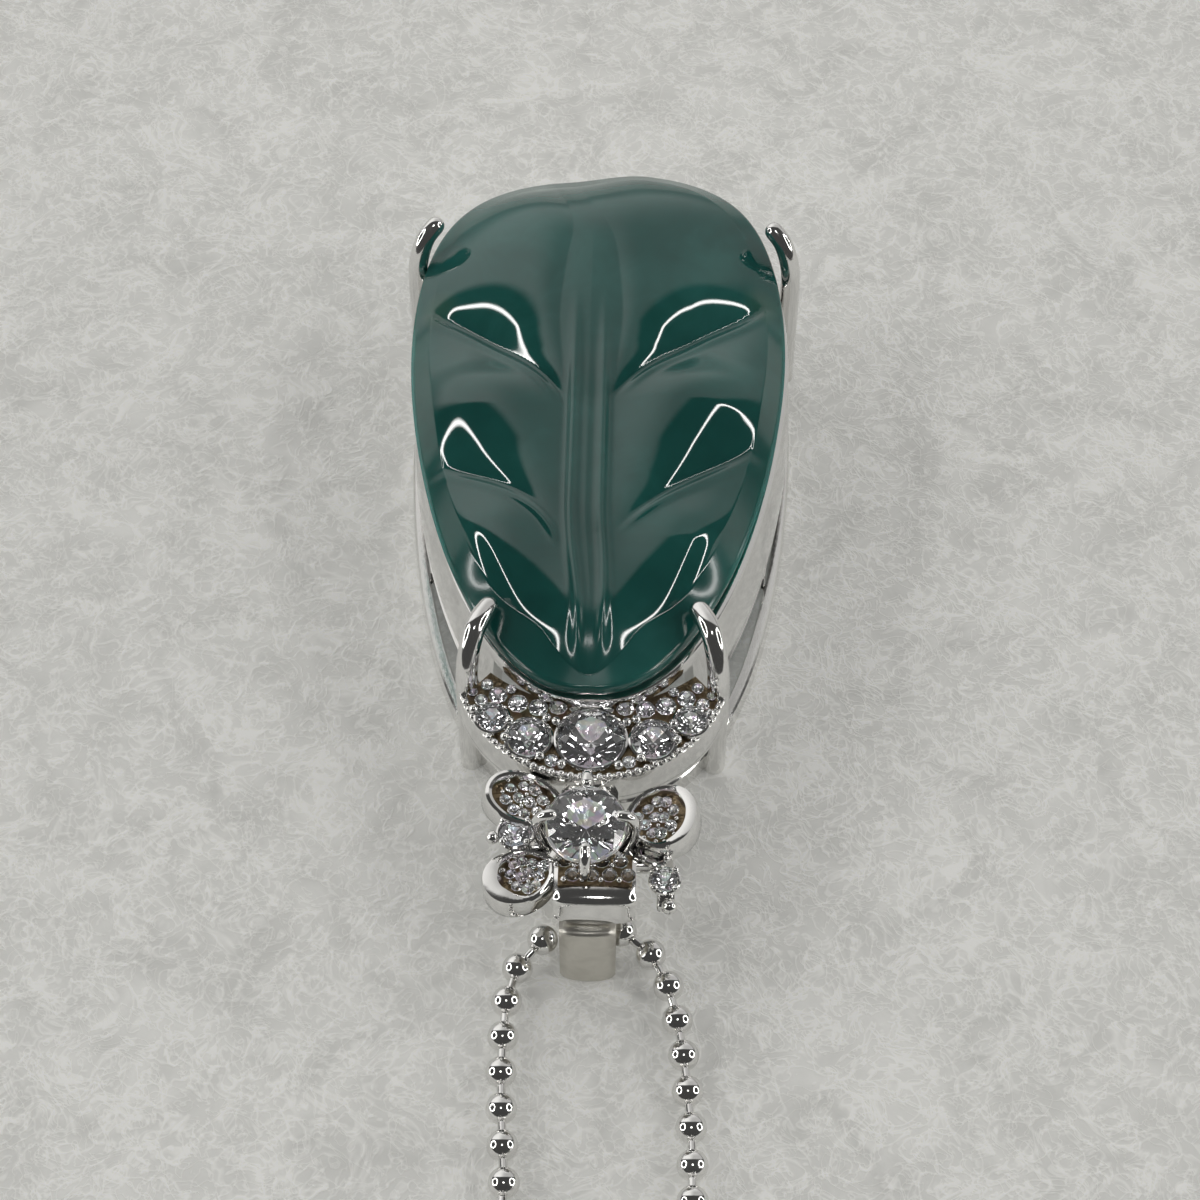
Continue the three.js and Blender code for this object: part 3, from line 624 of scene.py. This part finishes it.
# The setting. A flared wall of white metal stands round the leaf, over a slot and a base rail, all open
# below. Its rim runs on round the tip, where the wall is cut away between the two near posts. The rail
# reaches further out there, under the crescent.
SETTING_PIECES = 110
RIM_BLUNTNESS = 5.3
RAIL_BLUNTNESS = 6.6
RAIL_REACH = 1.2
RAIL_TOP = 1.0
WALL_FOOT = 2.1
RIM_TOP = 6.1
TIP_CUT = 5.5
TIP_CUT_END = -6.5
BASE_FLARE = 0.35
LEAF_MIDDLE = (LEAF_TIP + LEAF_FAR) / 2
rail_section = [
    (0.0, 0.9), (0.08, RAIL_TOP), (0.42, RAIL_TOP), (0.5, 0.9), (0.5, 0.08), (0.42, 0), (0.08, 0), (0, 0.08),
]
wall_section = [
    (0.0, 5.98), (0.04, 6.07), (0.12, RIM_TOP), (0.38, RIM_TOP), (0.47, 6.05), (0.5, 5.95), (0.5, 2.2),
    (0.42, WALL_FOOT), (0.08, WALL_FOOT), (0, 2.2),
]
pillar_steps = (36, 53, 87)


def flared(x, y, z):
    """The wall's outline grows from its rim down."""
    out = BASE_FLARE * (1 - z / RIM_TOP)
    return Vector((
        x * (1 + out / LEAF_HALF),
        LEAF_MIDDLE + (y - LEAF_MIDDLE) * (1 + 2 * out / (LEAF_FAR - LEAF_TIP)),
        z,
    ))


def grown_rings(part, ring, count):
    """Extrudes a ring of a part until it has so many. Returns them all, each in the first one's order."""
    rings = [ring]
    edges = list(part.edges)
    for _ in range(count - 1):
        grown = bmesh.ops.extrude_edge_only(part, edges=edges)["geom"]
        verts = [g for g in grown if isinstance(g, bmesh.types.BMVert)]
        edges = [g for g in grown if isinstance(g, bmesh.types.BMEdge) and set(g.verts) <= set(verts)]
        twins = {tuple(v.co): v for v in verts}
        rings.append([twins[tuple(v.co)] for v in ring])
    return rings


def open_edges(part):
    return [edge for edge in part.edges if edge.is_boundary]


def band(section, bluntness, reach, lift=None):
    """A closed band round the leaf. Its section is a closed row of insets and heights."""
    part = bmesh.new()
    start = bmesh.ops.create_circle(part, segments=2 * SETTING_PIECES, radius=1)["verts"]
    for ring, (inset, height) in zip(grown_rings(part, start, len(section)), section):
        half = egg_outline(-inset, bluntness - inset, reach, SETTING_PIECES)
        outline = half + [Vector((-p.x, p.y, 0)) for p in half[-2:0:-1]]
        for vert, point in zip(ring, outline):
            z = lift(point, height) if lift else height
            vert.co = flared(point.x, point.y, z) * MM
    bmesh.ops.bridge_loops(part, edges=open_edges(part))
    return part


def wall_height(point, height):
    """The wall ends above the slot, but round the tip it is cut up to the rim."""
    if point.y > TIP_CUT_END or height > TIP_CUT - 0.1:
        return height
    return TIP_CUT + (height - WALL_FOOT) * 0.06


setting = band(rail_section, RAIL_BLUNTNESS, RAIL_REACH)
added(setting, band(wall_section, RIM_BLUNTNESS, 0, wall_height))


def wire(points, radii, sides):
    """A round bar along points, with a radius at each and both ends closed."""
    part = bmesh.new()
    ring = bmesh.ops.create_circle(part, segments=sides, radius=1)["verts"]
    edges = list(part.edges)
    placed = Matrix.Identity(4)
    across = None
    last = len(points) - 1
    for i, (point, radius) in enumerate(zip(points, radii)):
        ahead = (points[min(i + 1, last)] - points[max(i - 1, 0)]).normalized()
        across = across or ahead.orthogonal()
        across = (across - ahead * across.dot(ahead)).normalized()
        turned_to = Matrix((across, ahead.cross(across), ahead)).transposed().to_4x4()
        there = Matrix.Translation(point) @ turned_to @ Matrix.Scale(radius, 4)
        if i:
            grown = bmesh.ops.extrude_edge_only(part, edges=edges)["geom"]
            ring = [g for g in grown if isinstance(g, bmesh.types.BMVert)]
            edges = [g for g in grown if isinstance(g, bmesh.types.BMEdge) and set(g.verts) <= set(ring)]
        bmesh.ops.transform(part, matrix=there @ placed.inverted(), verts=ring)
        placed = there
    bmesh.ops.holes_fill(part, edges=open_edges(part), sides=0)
    return part


def rounded_bar(points, radius, foot_radius, steps=4, sides=18):
    """A bar along a smooth line, a little stouter at its foot and with a rounded tip."""
    line = smooth_line(points, steps)
    last = len(line) - 1
    radii = [foot_radius + (radius - foot_radius) * i / last for i in range(last + 1)]
    heading = (line[-1] - line[-2]).normalized()
    for turn in (25, 50, 70, 84):
        line.append(line[last] + heading * radius * math.sin(math.radians(turn)))
        radii.append(radius * math.cos(math.radians(turn)))
    return wire([p * MM for p in line], [r * MM for r in radii], sides)


# Each prong by its post, the steps from it on the right side, and its radius: near the tip they lean in
# over the leaf's shoulders, at the wide end they stand outside it
prongs = [
    (Vector((4.95, -8.05, 0)), [
        (0, 0, 0), (0, 0, 2.8), (0, 0.05, 5.6), (-0.08, 0.5, 6.8), (-0.35, 1.3, 7.65), (-0.8, 2.3, 7.6),
    ], 0.42),
    (Vector((8.1, 12.9, 0)), [
        (0, 0, 0), (0, 0, 3.2), (0, 0, 6.2), (-0.1, 0.15, 7.3), (-0.4, 0.5, 8.15), (-0.8, 0.9, 8.5),
    ], 0.4),
]
slot_line = egg_outline(-0.25 + BASE_FLARE * 0.75, RIM_BLUNTNESS, 0, 100)
for side in (1, -1):
    for post, steps, radius in prongs:
        points = [Vector((side * (post.x + dx), post.y + dy, z)) for dx, dy, z in steps]
        added(setting, rounded_bar(points, radius, radius + 0.04))
    for step in pillar_steps:
        foot = slot_line[step]
        pillar = [Vector((side * foot.x, foot.y, z)) for z in (RAIL_TOP - 0.1, WALL_FOOT + 0.1)]
        added(setting, rounded_bar(pillar, 0.2, 0.2, 2, 10))


# The crescent before the leaf's tip is cast with the setting. Its plate holds five cups that hang below it,
# and small beads of metal are pushed over the stones from the gaps between them.
CRESCENT_TOP = 5.5
CRESCENT_GROUND = 4.1
CRESCENT_FOOT = 3.8
FRONT_CENTRE = -6.8
BACK_CENTRE = -2.5

# Each cup by its name, place, radius and foot
crescent_cups = [
    ("middle", 0, -10.5, 1.32, 3.2), ("inner_right", 2.42, -10.5, 0.84, 3.6),
    ("inner_left", -2.42, -10.5, 0.84, 3.6), ("outer_right", 3.88, -9.6, 0.6, 3.7),
    ("outer_left", -3.88, -9.6, 0.6, 3.7),
]
bead_places = [
    (1.38, -9.75), (1.1, -11.72), (1.95, -11.35), (3.2, -9.75), (3.35, -10.5), (4.62, -9.25), (1.75, -9.6),
]


def moved_to(x, y, z):
    return Matrix.Translation(Vector((x, y, z)) * MM)


def slab(outline, low, high, rounding):
    """A plate of even thickness with a rounded edge on top."""
    part = bmesh.new()
    sheet = part.faces.new([part.verts.new(Vector((x, y, low)) * MM) for x, y in outline])
    raised = bmesh.ops.extrude_face_region(part, geom=[sheet])["geom"]
    top = {g for g in raised if isinstance(g, bmesh.types.BMVert)}
    bmesh.ops.translate(part, verts=list(top), vec=(0, 0, (high - low) * MM))
    bmesh.ops.holes_fill(part, edges=open_edges(part), sides=0)
    bmesh.ops.bevel(
        part, geom=[e for e in part.edges if set(e.verts) <= top], offset=rounding * MM, segments=3,
        profile=0.5, affect="EDGES", material=-1)
    return part


def arc_points(y, radius, start, end, pieces):
    """Points along an arc about a centre on the middle line, by the headings of its ends in degrees."""
    headings = [math.radians(start + (end - start) * i / pieces) for i in range(pieces + 1)]
    return [(radius * math.cos(h), y + radius * math.sin(h)) for h in headings]


def cup(radius, height, rim=0.15):
    """An open cup with a bright rolled rim. Its rim is at height zero."""
    foot = 0.62 * radius
    profile = [
        (foot - 0.12, -height), (foot, -height), (radius + 0.02, -0.35), (radius + rim, -0.08),
        (radius + rim - 0.02, 0.02), (radius + 0.06, 0.05), (radius + 0.01, 0.0), (radius - 0.1, -0.2),
        (foot - 0.12, -height + 0.1), (foot - 0.12, -height),
    ]
    return turned([(r * MM, h * MM) for r, h in profile], 36)


def bead(x, y, z, radius):
    part = bmesh.new()
    bmesh.ops.create_uvsphere(
        part, u_segments=10, v_segments=7, radius=radius * MM, matrix=moved_to(x, y, z))
    return part


front_edge = arc_points(FRONT_CENTRE, 5.5, -165, -15, 40)
crescent_outline = front_edge + arc_points(BACK_CENTRE, 6.2, -48, -132, 30)
added(setting, slab(crescent_outline, CRESCENT_FOOT, CRESCENT_GROUND, 0.06))
front_wall = front_edge + arc_points(FRONT_CENTRE, 5.2, -15, -165, 40)
added(setting, slab(front_wall, CRESCENT_GROUND - 0.1, CRESCENT_TOP - 0.1, 0.08))
for _, x, y, radius, foot in crescent_cups:
    added(setting, cup(radius, CRESCENT_TOP - foot), moved_to(x, y, CRESCENT_TOP + 0.04))
for side in (1, -1):
    for x, y in bead_places:
        added(setting, bead(side * x, y, CRESCENT_TOP + 0.1, 0.2))
for x, y in arc_points(FRONT_CENTRE, 5.36, -158, -22, 34):
    added(setting, bead(x, y, CRESCENT_TOP - 0.1, 0.17))
neck = bmesh.new()
bmesh.ops.create_cube(
    neck, size=1, matrix=moved_to(0, -12.1, 3.8) @ Matrix.Diagonal((2.2 * MM, 1.2 * MM, 1.2 * MM, 1)))
added(setting, neck)
finished("leaf_setting", setting, white_metal, "white_metal", "basket", sharp=35)


# The stones. Clear and colourless, cut round with a table, a crown of kites and a pointed pavilion. Each
# stands in a seat that glows a little of its own, a painted glow for the light that gathers in a cut stone,
# flecked with painted coloured glints for its fire. Between the crescent's seats lies a darker plate with
# grains of metal, pierced under each stone.
GIRDLE_ROOM = 0.01
PIERCED_TOP = 5.34
PAINTED_GLINT_SHARE = 0.25

# Rows of corners, by the stone's radius: how many, how far out, how high, and their turn in corners
cut_rows = [
    (8, 0.56, 0.34, 0), (8, 0.79, 0.22, 0.5), (16, 1, 0.03, 0), (16, 1, -0.02, 0), (8, 0.25, -0.674, 0.5),
    (1, 0, -0.87, 0),
]
seat_profile = [(0, -0.93), (0.26, -0.75), (1, -0.07), (1.04, -0.12), (0.3, -0.82), (0, -1.0)]

# Small stones between the five, on the right side: place and radius
small_places = [
    (0.58, -9.0, 0.3), (1.32, -8.98, 0.36), (2.1, -9.05, 0.38), (2.9, -8.88, 0.4), (3.7, -8.5, 0.36),
    (4.35, -8.75, 0.26), (4.15, -8.0, 0.24), (4.7, -8.35, 0.2), (3.2, -8.2, 0.2), (1.5, -11.5, 0.27),
]


def clear_stone(name, tint, refraction):
    """A cut stone's material, with less refraction than a real one's, so that its seat shows through."""
    stone, _, surface = finish(name)
    surface["Base Color"].default_value = tint
    surface["Roughness"].default_value = 0.0
    surface["IOR"].default_value = refraction
    surface["Transmission Weight"].default_value = 1.0
    return stone


crystal = clear_stone("crystal", (0.97, 0.975, 1, 1), 1.9)
centre_crystal = clear_stone("centre_crystal", (0.985, 0.985, 1, 1), 1.6)
# The seats are painted light: they glow a little of their own and are flecked with painted coloured glints,
# for the glow and fire that gather in a cut stone.
painted_glow_seat, shade, surface = finish("painted_glow_seat")
painted_fire_colour = shade.node("ShaderNodeTexVoronoi", None, {"Vector": places(shade), "Scale": 4200}, 1)
painted_glints = shade.node(
    "ShaderNodeMix", {"data_type": "RGBA"}, {0: PAINTED_GLINT_SHARE, 6: (1, 1, 0.98, 1), 7: painted_fire_colour}, 2)
shade.feed(surface["Base Color"], painted_glints)
shade.feed(surface["Emission Color"], painted_glints)
surface["Emission Strength"].default_value = 0.2
surface["Metallic"].default_value = 0.7
surface["Roughness"].default_value = 0.12
dull_ground, shade, surface = finish("dull_ground")
surface["Base Color"].default_value = (0.19, 0.145, 0.09, 1)
surface["Metallic"].default_value = 1
surface["Roughness"].default_value = 0.3
shade.feed(surface["Normal"], bumped(shade, noise(shade, 3500, 2), 0.12 * MM, 1.0))


def brilliant(radius):
    """A round brilliant, its girdle at height zero."""
    part = bmesh.new()
    for count, reach, height, shift in cut_rows:
        for i in range(count):
            heading = 2 * math.pi * (i + shift) / count
            corner = Vector((reach * math.cos(heading), reach * math.sin(heading), height))
            part.verts.new(corner * radius * MM)
    bmesh.ops.convex_hull(part, input=part.verts)
    bmesh.ops.dissolve_limit(part, angle_limit=math.radians(1), verts=part.verts, edges=part.edges)
    return part


seats = bmesh.new()
ground = bmesh.new()


def set_stone(stones, radius, place):
    """Puts a stone into its seat, the glowing cone with painted glints that its point stands in."""
    added(stones, brilliant(radius), place)
    added(seats, turned([(r * radius * MM, h * radius * MM) for r, h in seat_profile], 9), place)


crescent_stones = bmesh.new()
for i, (_, x, y, radius, _) in enumerate(crescent_cups):
    place = moved_to(x, y, CRESCENT_TOP + 0.05) @ Matrix.Rotation(0.3 * i, 4, "Z")
    set_stone(crescent_stones, radius - GIRDLE_ROOM, place)
holes = [(x, y, radius + 0.02) for _, x, y, radius, _ in crescent_cups]
for i, (x, y, radius) in enumerate(small_places):
    for side in (1, -1):
        place = moved_to(side * x, y, CRESCENT_TOP + 0.02) @ Matrix.Rotation(0.5 * i, 4, "Z")
        set_stone(crescent_stones, radius, place)
        holes.append((side * x, y, 0.8 * radius))
ground_outline = (
    arc_points(FRONT_CENTRE, 5.25, -162, -18, 40) + arc_points(BACK_CENTRE, 6.3, -50, -130, 28))
pierced = bmesh.new()
bmesh.ops.create_circle(pierced, segments=len(ground_outline), radius=MM)
for vert, (x, y) in zip(pierced.verts, ground_outline):
    vert.co = Vector((x, y, 0)) * MM
for x, y, radius in holes:
    bmesh.ops.create_circle(pierced, segments=20, radius=radius * MM, matrix=moved_to(x, y, 0))
bmesh.ops.triangle_fill(pierced, use_beauty=True, edges=pierced.edges[:])
bmesh.ops.translate(pierced, verts=pierced.verts, vec=(0, 0, CRESCENT_GROUND * MM))
raised = bmesh.ops.extrude_face_region(pierced, geom=pierced.faces[:])["geom"]
bmesh.ops.translate(
    pierced, verts=[g for g in raised if isinstance(g, bmesh.types.BMVert)],
    vec=(0, 0, (PIERCED_TOP - CRESCENT_GROUND) * MM))
added(ground, pierced)
finished(
    "crescent_stones", crescent_stones, crystal, "clear_stone",
    *(f"crescent_stone_{name}" for name, *_ in crescent_cups), sharp=1)


# The flower and bail, one casting soldered to the neck. A plate carries three hollow petals, the side
# settings and a band, and over them a cup with four claws lifts the centre stone.
FLOWER_X = -0.08
FLOWER_Y = -14.75
PLATE_Y = -14.6
PLATE_FOOT = 3.75
PLATE_TOP = 4.5
CENTRE_RADIUS = 1.5
CENTRE_GIRDLE = 6.2
CENTRE_TILT = math.radians(10)
plate_profile = [
    (0, PLATE_FOOT), (1.8, PLATE_FOOT), (1.85, PLATE_FOOT + 0.06), (1.85, PLATE_TOP - 0.08),
    (1.77, PLATE_TOP), (0, PLATE_TOP),
]
claw_steps = [(1.4, PLATE_TOP - 0.2), (1.75, 5.3), (1.85, 6.2), (1.63, 6.68), (1.31, 6.82)]
centre_place = moved_to(FLOWER_X, FLOWER_Y, CENTRE_GIRDLE) @ Matrix.Rotation(CENTRE_TILT, 4, "X")
flower = turned([(r * MM, z * MM) for r, z in plate_profile], 40)
bmesh.ops.translate(flower, verts=flower.verts, vec=(0, PLATE_Y * MM, 0))
added(flower, cup(CENTRE_RADIUS, 1.7, 0.1), centre_place @ moved_to(0, 0, -0.12))
for quarter in range(4):
    out_x, out_y = math.cos(quarter * math.pi / 2), math.sin(quarter * math.pi / 2)
    points = []
    for reach, z in claw_steps:
        tilted = z + math.sin(CENTRE_TILT) * out_y * reach
        points.append(Vector((FLOWER_X + out_x * reach, FLOWER_Y + out_y * reach, tilted)))
    added(flower, rounded_bar(points, 0.22, 0.26, 4, 14))


# The petals. Each is cast with the flower as a hollow with a rolled rim, and its floor is paved with eleven
# small stones and beads between them. A petal is given by its name, its root's place, its turn and tilt in
# degrees, its length and width, and how stout its rim is at the tip.
PAVING_RADIUS = 0.23
petals = [
    ("upper_left", -1.0, -13.6, 4.1, 71, 8, 3.35, 2.4, 0.3),
    ("upper_right", 1.5, -13.6, 4.1, -97, 10, 2.9, 3.0, 0.9),
    ("lower_left", -1.2, -15.35, 3.7, 118, -4, 3.0, 2.5, 1.6),
]
paving_rows = [(0.12, 1), (0.29, 2), (0.46, 3), (0.63, 3), (0.8, 2)]
petal_section = [
    (0.06, 0.0), (0, 0.1), (0, 0.82), (0.08, 0.95), (0.16, 1.0), (0.25, 0.96), (0.3, 0.85), (0.34, 0.6),
]


def petal_edge(length, width, pieces=48):
    """Outline of a petal, from its root round its tip and back, with the way outwards at each point."""
    side = 0.66 * width
    arcs = [
        [(0, 0), (side, 0.1 * length), (side, length), (0, length)],
        [(0, length), (-side, length), (-side, 0.1 * length), (0, 0)],
    ]
    line = []
    for arc in arcs:
        line += interpolate_bezier(*(Vector((x, y, 0)) for x, y in arc), 100)[len(line) > 0:]
    total = sum((b - a).length for a, b in zip(line, line[1:]))
    found = spaced(line, total / pieces * (1 - 1e-9), 0)[:pieces]
    return [(point, Vector((heading.y, -heading.x, 0))) for point, heading in found]


def petal(length, width, lip):
    """A hollow petal: a rolled rim, thickest at the tip, round a sunken floor. Its underside is flat."""
    part = bmesh.new()
    edge = petal_edge(length, width)
    start = bmesh.ops.create_circle(part, segments=len(edge), radius=1, cap_ends=True)["verts"]
    for ring, (inset, height) in zip(grown_rings(part, start, len(petal_section)), petal_section):
        for vert, (point, outwards) in zip(ring, edge):
            stout = 1 + lip * soft(point.y / length * 2 - 0.9)
            rise = Vector((0, 0, height + (0.1 * (stout - 1) if height > 0.9 else 0)))
            vert.co = (point - outwards * inset * (stout if inset > 0.1 else 1) + rise) * MM
    bmesh.ops.holes_fill(part, edges=open_edges(part), sides=0)
    return part


petal_stones = bmesh.new()
for _, x, y, z, turn, tilt, length, width, lip in petals:
    root = (
        moved_to(x, y, z)
        @ Matrix.Rotation(math.radians(turn), 4, "Z")
        @ Matrix.Rotation(math.radians(tilt), 4, "X")
    )
    added(flower, petal(length, width, lip), root)
    hollow = [point - outwards * 0.3 for point, outwards in petal_edge(length, width, 24)]
    added(ground, slab([(p.x, p.y) for p in hollow], 0.5, 0.64, 0.01), root)
    space = length - 0.34 * (1 + lip) - 0.3
    for share, count in paving_rows:
        for i in range(count):
            spot = Vector(((i - (count - 1) / 2) * 0.235 * width, 0.3 + share * space, 0.82))
            turned_by = Matrix.Rotation(share * 9 + i, 4, "Z")
            leaning_by = Matrix.Rotation(0.3 * math.sin(7 * i + 40 * share), 4, "X")
            set_stone(petal_stones, PAVING_RADIUS, root @ moved_to(*spot) @ turned_by @ leaning_by)
            between = spot + Vector((0.118 * width, 0.085 * space, -0.06))
            added(flower, bead(0, 0, 0, 0.1), root @ moved_to(*between))


# The side settings. Three small cups stand beside the petals, each with four beads over its stone, and
# short arms join them to the plate. A larger bead ends the row on both sides. A setting is given by its
# stone's name, place and radius and the height of its foot.
side_settings = [
    ("side_stone_left", -2.8, -14.5, 5.05, 0.6, 3.75), ("side_stone_right", 2.55, -14.95, 4.7, 0.55, 3.5),
    ("side_stone_lower_right", 2.95, -16.05, 4.35, 0.5, 3.3),
]
end_beads = [(-3.65, -14.65, 4.9, 0.28), (3.13, -16.95, 3.9, 0.32)]

# Lowest and highest corner of each arm
arms = [
    ((-2.85, -14.8, PLATE_FOOT), (-1.3, -14.0, PLATE_TOP - 0.1)),
    ((2.65, -16.95, 3.4), (3.35, -14.6, 3.9)),
    ((1.3, -15.5, PLATE_FOOT), (2.7, -14.5, PLATE_TOP - 0.1)),
]
side_stones = bmesh.new()
for _, x, y, z, radius, foot in side_settings:
    place = moved_to(x, y, z)
    added(flower, cup(radius, z - foot, 0.14), place)
    set_stone(side_stones, radius - GIRDLE_ROOM, place)
    for quarter in range(4):
        heading = math.radians(45 + 90 * quarter)
        reach = radius + 0.06
        added(flower, bead(x + reach * math.cos(heading), y + reach * math.sin(heading), z + 0.1, 0.15))
for end in end_beads:
    added(flower, bead(*end))
for low, high in arms:
    low, high = Vector(low), Vector(high)
    arm = bmesh.new()
    bmesh.ops.create_cube(
        arm, size=1, matrix=moved_to(*(low + high) / 2) @ Matrix.Diagonal((*(high - low) * MM, 1)))
    bmesh.ops.bevel(
        arm, geom=arm.edges[:], offset=0.12 * MM, segments=3, profile=0.5, affect="EDGES", material=-1)
    added(flower, arm)


# The chain's loop. A closed strip that stands upright below the plate, soldered to it and lying on the
# surface, and the chain runs through it. Its outer face is crowned and its metal only satin.
LOOP_WALL = 0.6
LOOP_WIDTH = 2.15
LOOP_X = 0.04
LOOP_START = -18.2
LOOP_END = -13.4
LOOP_ACROSS = 16
loop_middle = Vector((0, -15.8, 2))


def rounded_box(y0, y1, z0, z1, corner, steps=7):
    """Closed outline with round corners, seen from the side."""
    line = []
    for cy, cz, start in ((y1 - corner, z0 + corner, -90), (y1 - corner, z1 - corner, 0),
                          (y0 + corner, z1 - corner, 90), (y0 + corner, z0 + corner, 180)):
        for i in range(steps + 1):
            heading = math.radians(start + 90 * i / steps)
            line.append(Vector((0, cy + corner * math.cos(heading), cz + corner * math.sin(heading))))
    return line


def drawn_in(point, middle, drop):
    """A point of an outline seen from the side, moved towards its middle."""
    return point + Vector((0, middle.y - point.y, middle.z - point.z)).normalized() * drop


def edge_drop(t, crown, rounding, sharpness):
    """How far a strip's face falls from its middle line, where t is 0, to an edge, where it is 1 or -1."""
    return crown * t * t + rounding * (1 - math.sqrt(max(0.0, 1 - abs(t) ** sharpness)))


loop = bmesh.new()
outer_loop = rounded_box(LOOP_START, LOOP_END, 0, PLATE_FOOT, 0.22)
inner_loop = rounded_box(LOOP_START + LOOP_WALL, LOOP_END - LOOP_WALL, LOOP_WALL, PLATE_FOOT - 0.35, 0.35)
loop_rings = []
for outline, way, crown, rounding in ((outer_loop, 1, 0.16, 0.14), (inner_loop, -1, -0.03, -0.05)):
    for i in range(LOOP_ACROSS + 1):
        t = way * (-1 + 2 * i / LOOP_ACROSS)
        drop = edge_drop(t, crown, rounding, 6)
        across = Vector((LOOP_X + t * LOOP_WIDTH / 2, 0, 0))
        loop_rings.append([
            loop.verts.new((drawn_in(point, loop_middle, drop) + across) * MM) for point in outline])
for ring, following in zip(loop_rings, loop_rings[1:] + loop_rings[:1]):
    for i in range(len(ring)):
        k = (i + 1) % len(ring)
        loop.faces.new((ring[i], ring[k], following[k], following[i]))
satin_metal, shade, surface = finish("satin_metal")
streaks = noise(shade, 900, 4, 1.0)
surface["Metallic"].default_value = 1
shade.feed(surface["Base Color"], streaks.mixed((0.50, 0.48, 0.43, 1), (0.80, 0.78, 0.72, 1)))
surface["Roughness"].default_value = 0.36
finished("bail_loop", loop, satin_metal, "white_metal", sharp=35)


# The front band. It lies over the loop and curls down in front with a tight round corner. Its flat top is
# paved with two rows of four small stones on a darker ground.
BAND_WIDTH = 3.1
BAND_X = 0.3
BAND_BACK = -15.6
BAND_SIDES = 20
BAND_PAVING_RADIUS = 0.29
band_arcs = [
    [(BAND_BACK, 5.25), (-16.3, 5.32), (-16.8, 5.34), (-17.2, 5.28)],
    [(-17.2, 5.28), (-17.5, 5.22), (-17.62, 5.05), (-17.66, 4.8)],
    [(-17.66, 4.8), (-17.72, 4.5), (-17.78, 4.15), (-17.75, 3.85)],
    [(-17.75, 3.85), (-17.65, 3.78), (-17.35, 3.78), (-17.25, 3.85)],
    [(-17.25, 3.85), (-17.1, 4.15), (-16.6, 4.3), (BAND_BACK, 4.3)],
]
band_ground = [(-1.4, -16.95), (1.4, -16.95), (1.4, BAND_BACK), (-1.4, BAND_BACK)]


def strip(line, width, middle_x, crown, rounding):
    """A closed strip of metal along a closed outline seen from the side, its faces crowned across."""
    part = bmesh.new()
    start = [part.verts.new((0, p.y * MM, p.z * MM)) for p in line]
    for i in range(len(start)):
        part.edges.new((start[i], start[(i + 1) % len(start)]))
    middle = sum((p for p in line), Vector()) / len(line)
    for i, ring in enumerate(grown_rings(part, start, BAND_SIDES + 1)):
        t = -1 + 2 * i / BAND_SIDES
        drop = edge_drop(t, crown, rounding, 8)
        for vert, point in zip(ring, line):
            spot = drawn_in(point, middle, drop)
            vert.co = Vector((middle_x + t * width / 2, spot.y, spot.z)) * MM
    bmesh.ops.holes_fill(part, edges=open_edges(part), sides=0)
    return part


band_line = []
for arc in band_arcs:
    band_line += interpolate_bezier(*(Vector((0, y, z)) for y, z in arc), 9)[:-1]
band_line.append(Vector((0, BAND_BACK, 4.3)))
added(flower, strip(band_line, BAND_WIDTH, BAND_X, 0.12, 0.16))
added(ground, slab([(BAND_X + x, y) for x, y in band_ground], 5.2, 5.37, 0.02))
band_stones = bmesh.new()
for x in (-1.15, -0.45, 0.25, 0.95):
    for y, z, offset in ((-15.95, 5.52, 0), (-16.55, 5.5, 0.3)):
        set_stone(band_stones, BAND_PAVING_RADIUS, moved_to(BAND_X + x + offset, y, z))
        added(flower, bead(BAND_X + x + offset - 0.33, y - 0.2, z - 0.02, 0.12))
finished("flower_and_bail", flower, white_metal, "white_metal", "flower_bail", sharp=35)


# The flower's stones, and the seats and grounds of all the stones. The centre stone is the largest. The
# paving stones are smaller than the CAD's and more of them, and stand for those.
centre_stone = bmesh.new()
set_stone(centre_stone, CENTRE_RADIUS - GIRDLE_ROOM, centre_place)
finished("centre_stone_cut", centre_stone, centre_crystal, "clear_stone", "centre_stone", sharp=1)
finished(
    "petal_stones", petal_stones, crystal, "clear_stone",
    *(f"paving_{name}_{i}" for name, *_ in petals for i in (1, 2)), sharp=1)
finished(
    "side_stones", side_stones, crystal, "clear_stone", *(name for name, *_ in side_settings), sharp=1)
finished("painted_glow_seats", seats, painted_glow_seat, "white_metal", sharp=5)
finished("dull_grounds", ground, dull_ground, "white_metal", sharp=35)
finished(
    "band_stones", band_stones, crystal, "clear_stone", *(f"band_paving_{i}" for i in (1, 2, 3)), sharp=1)
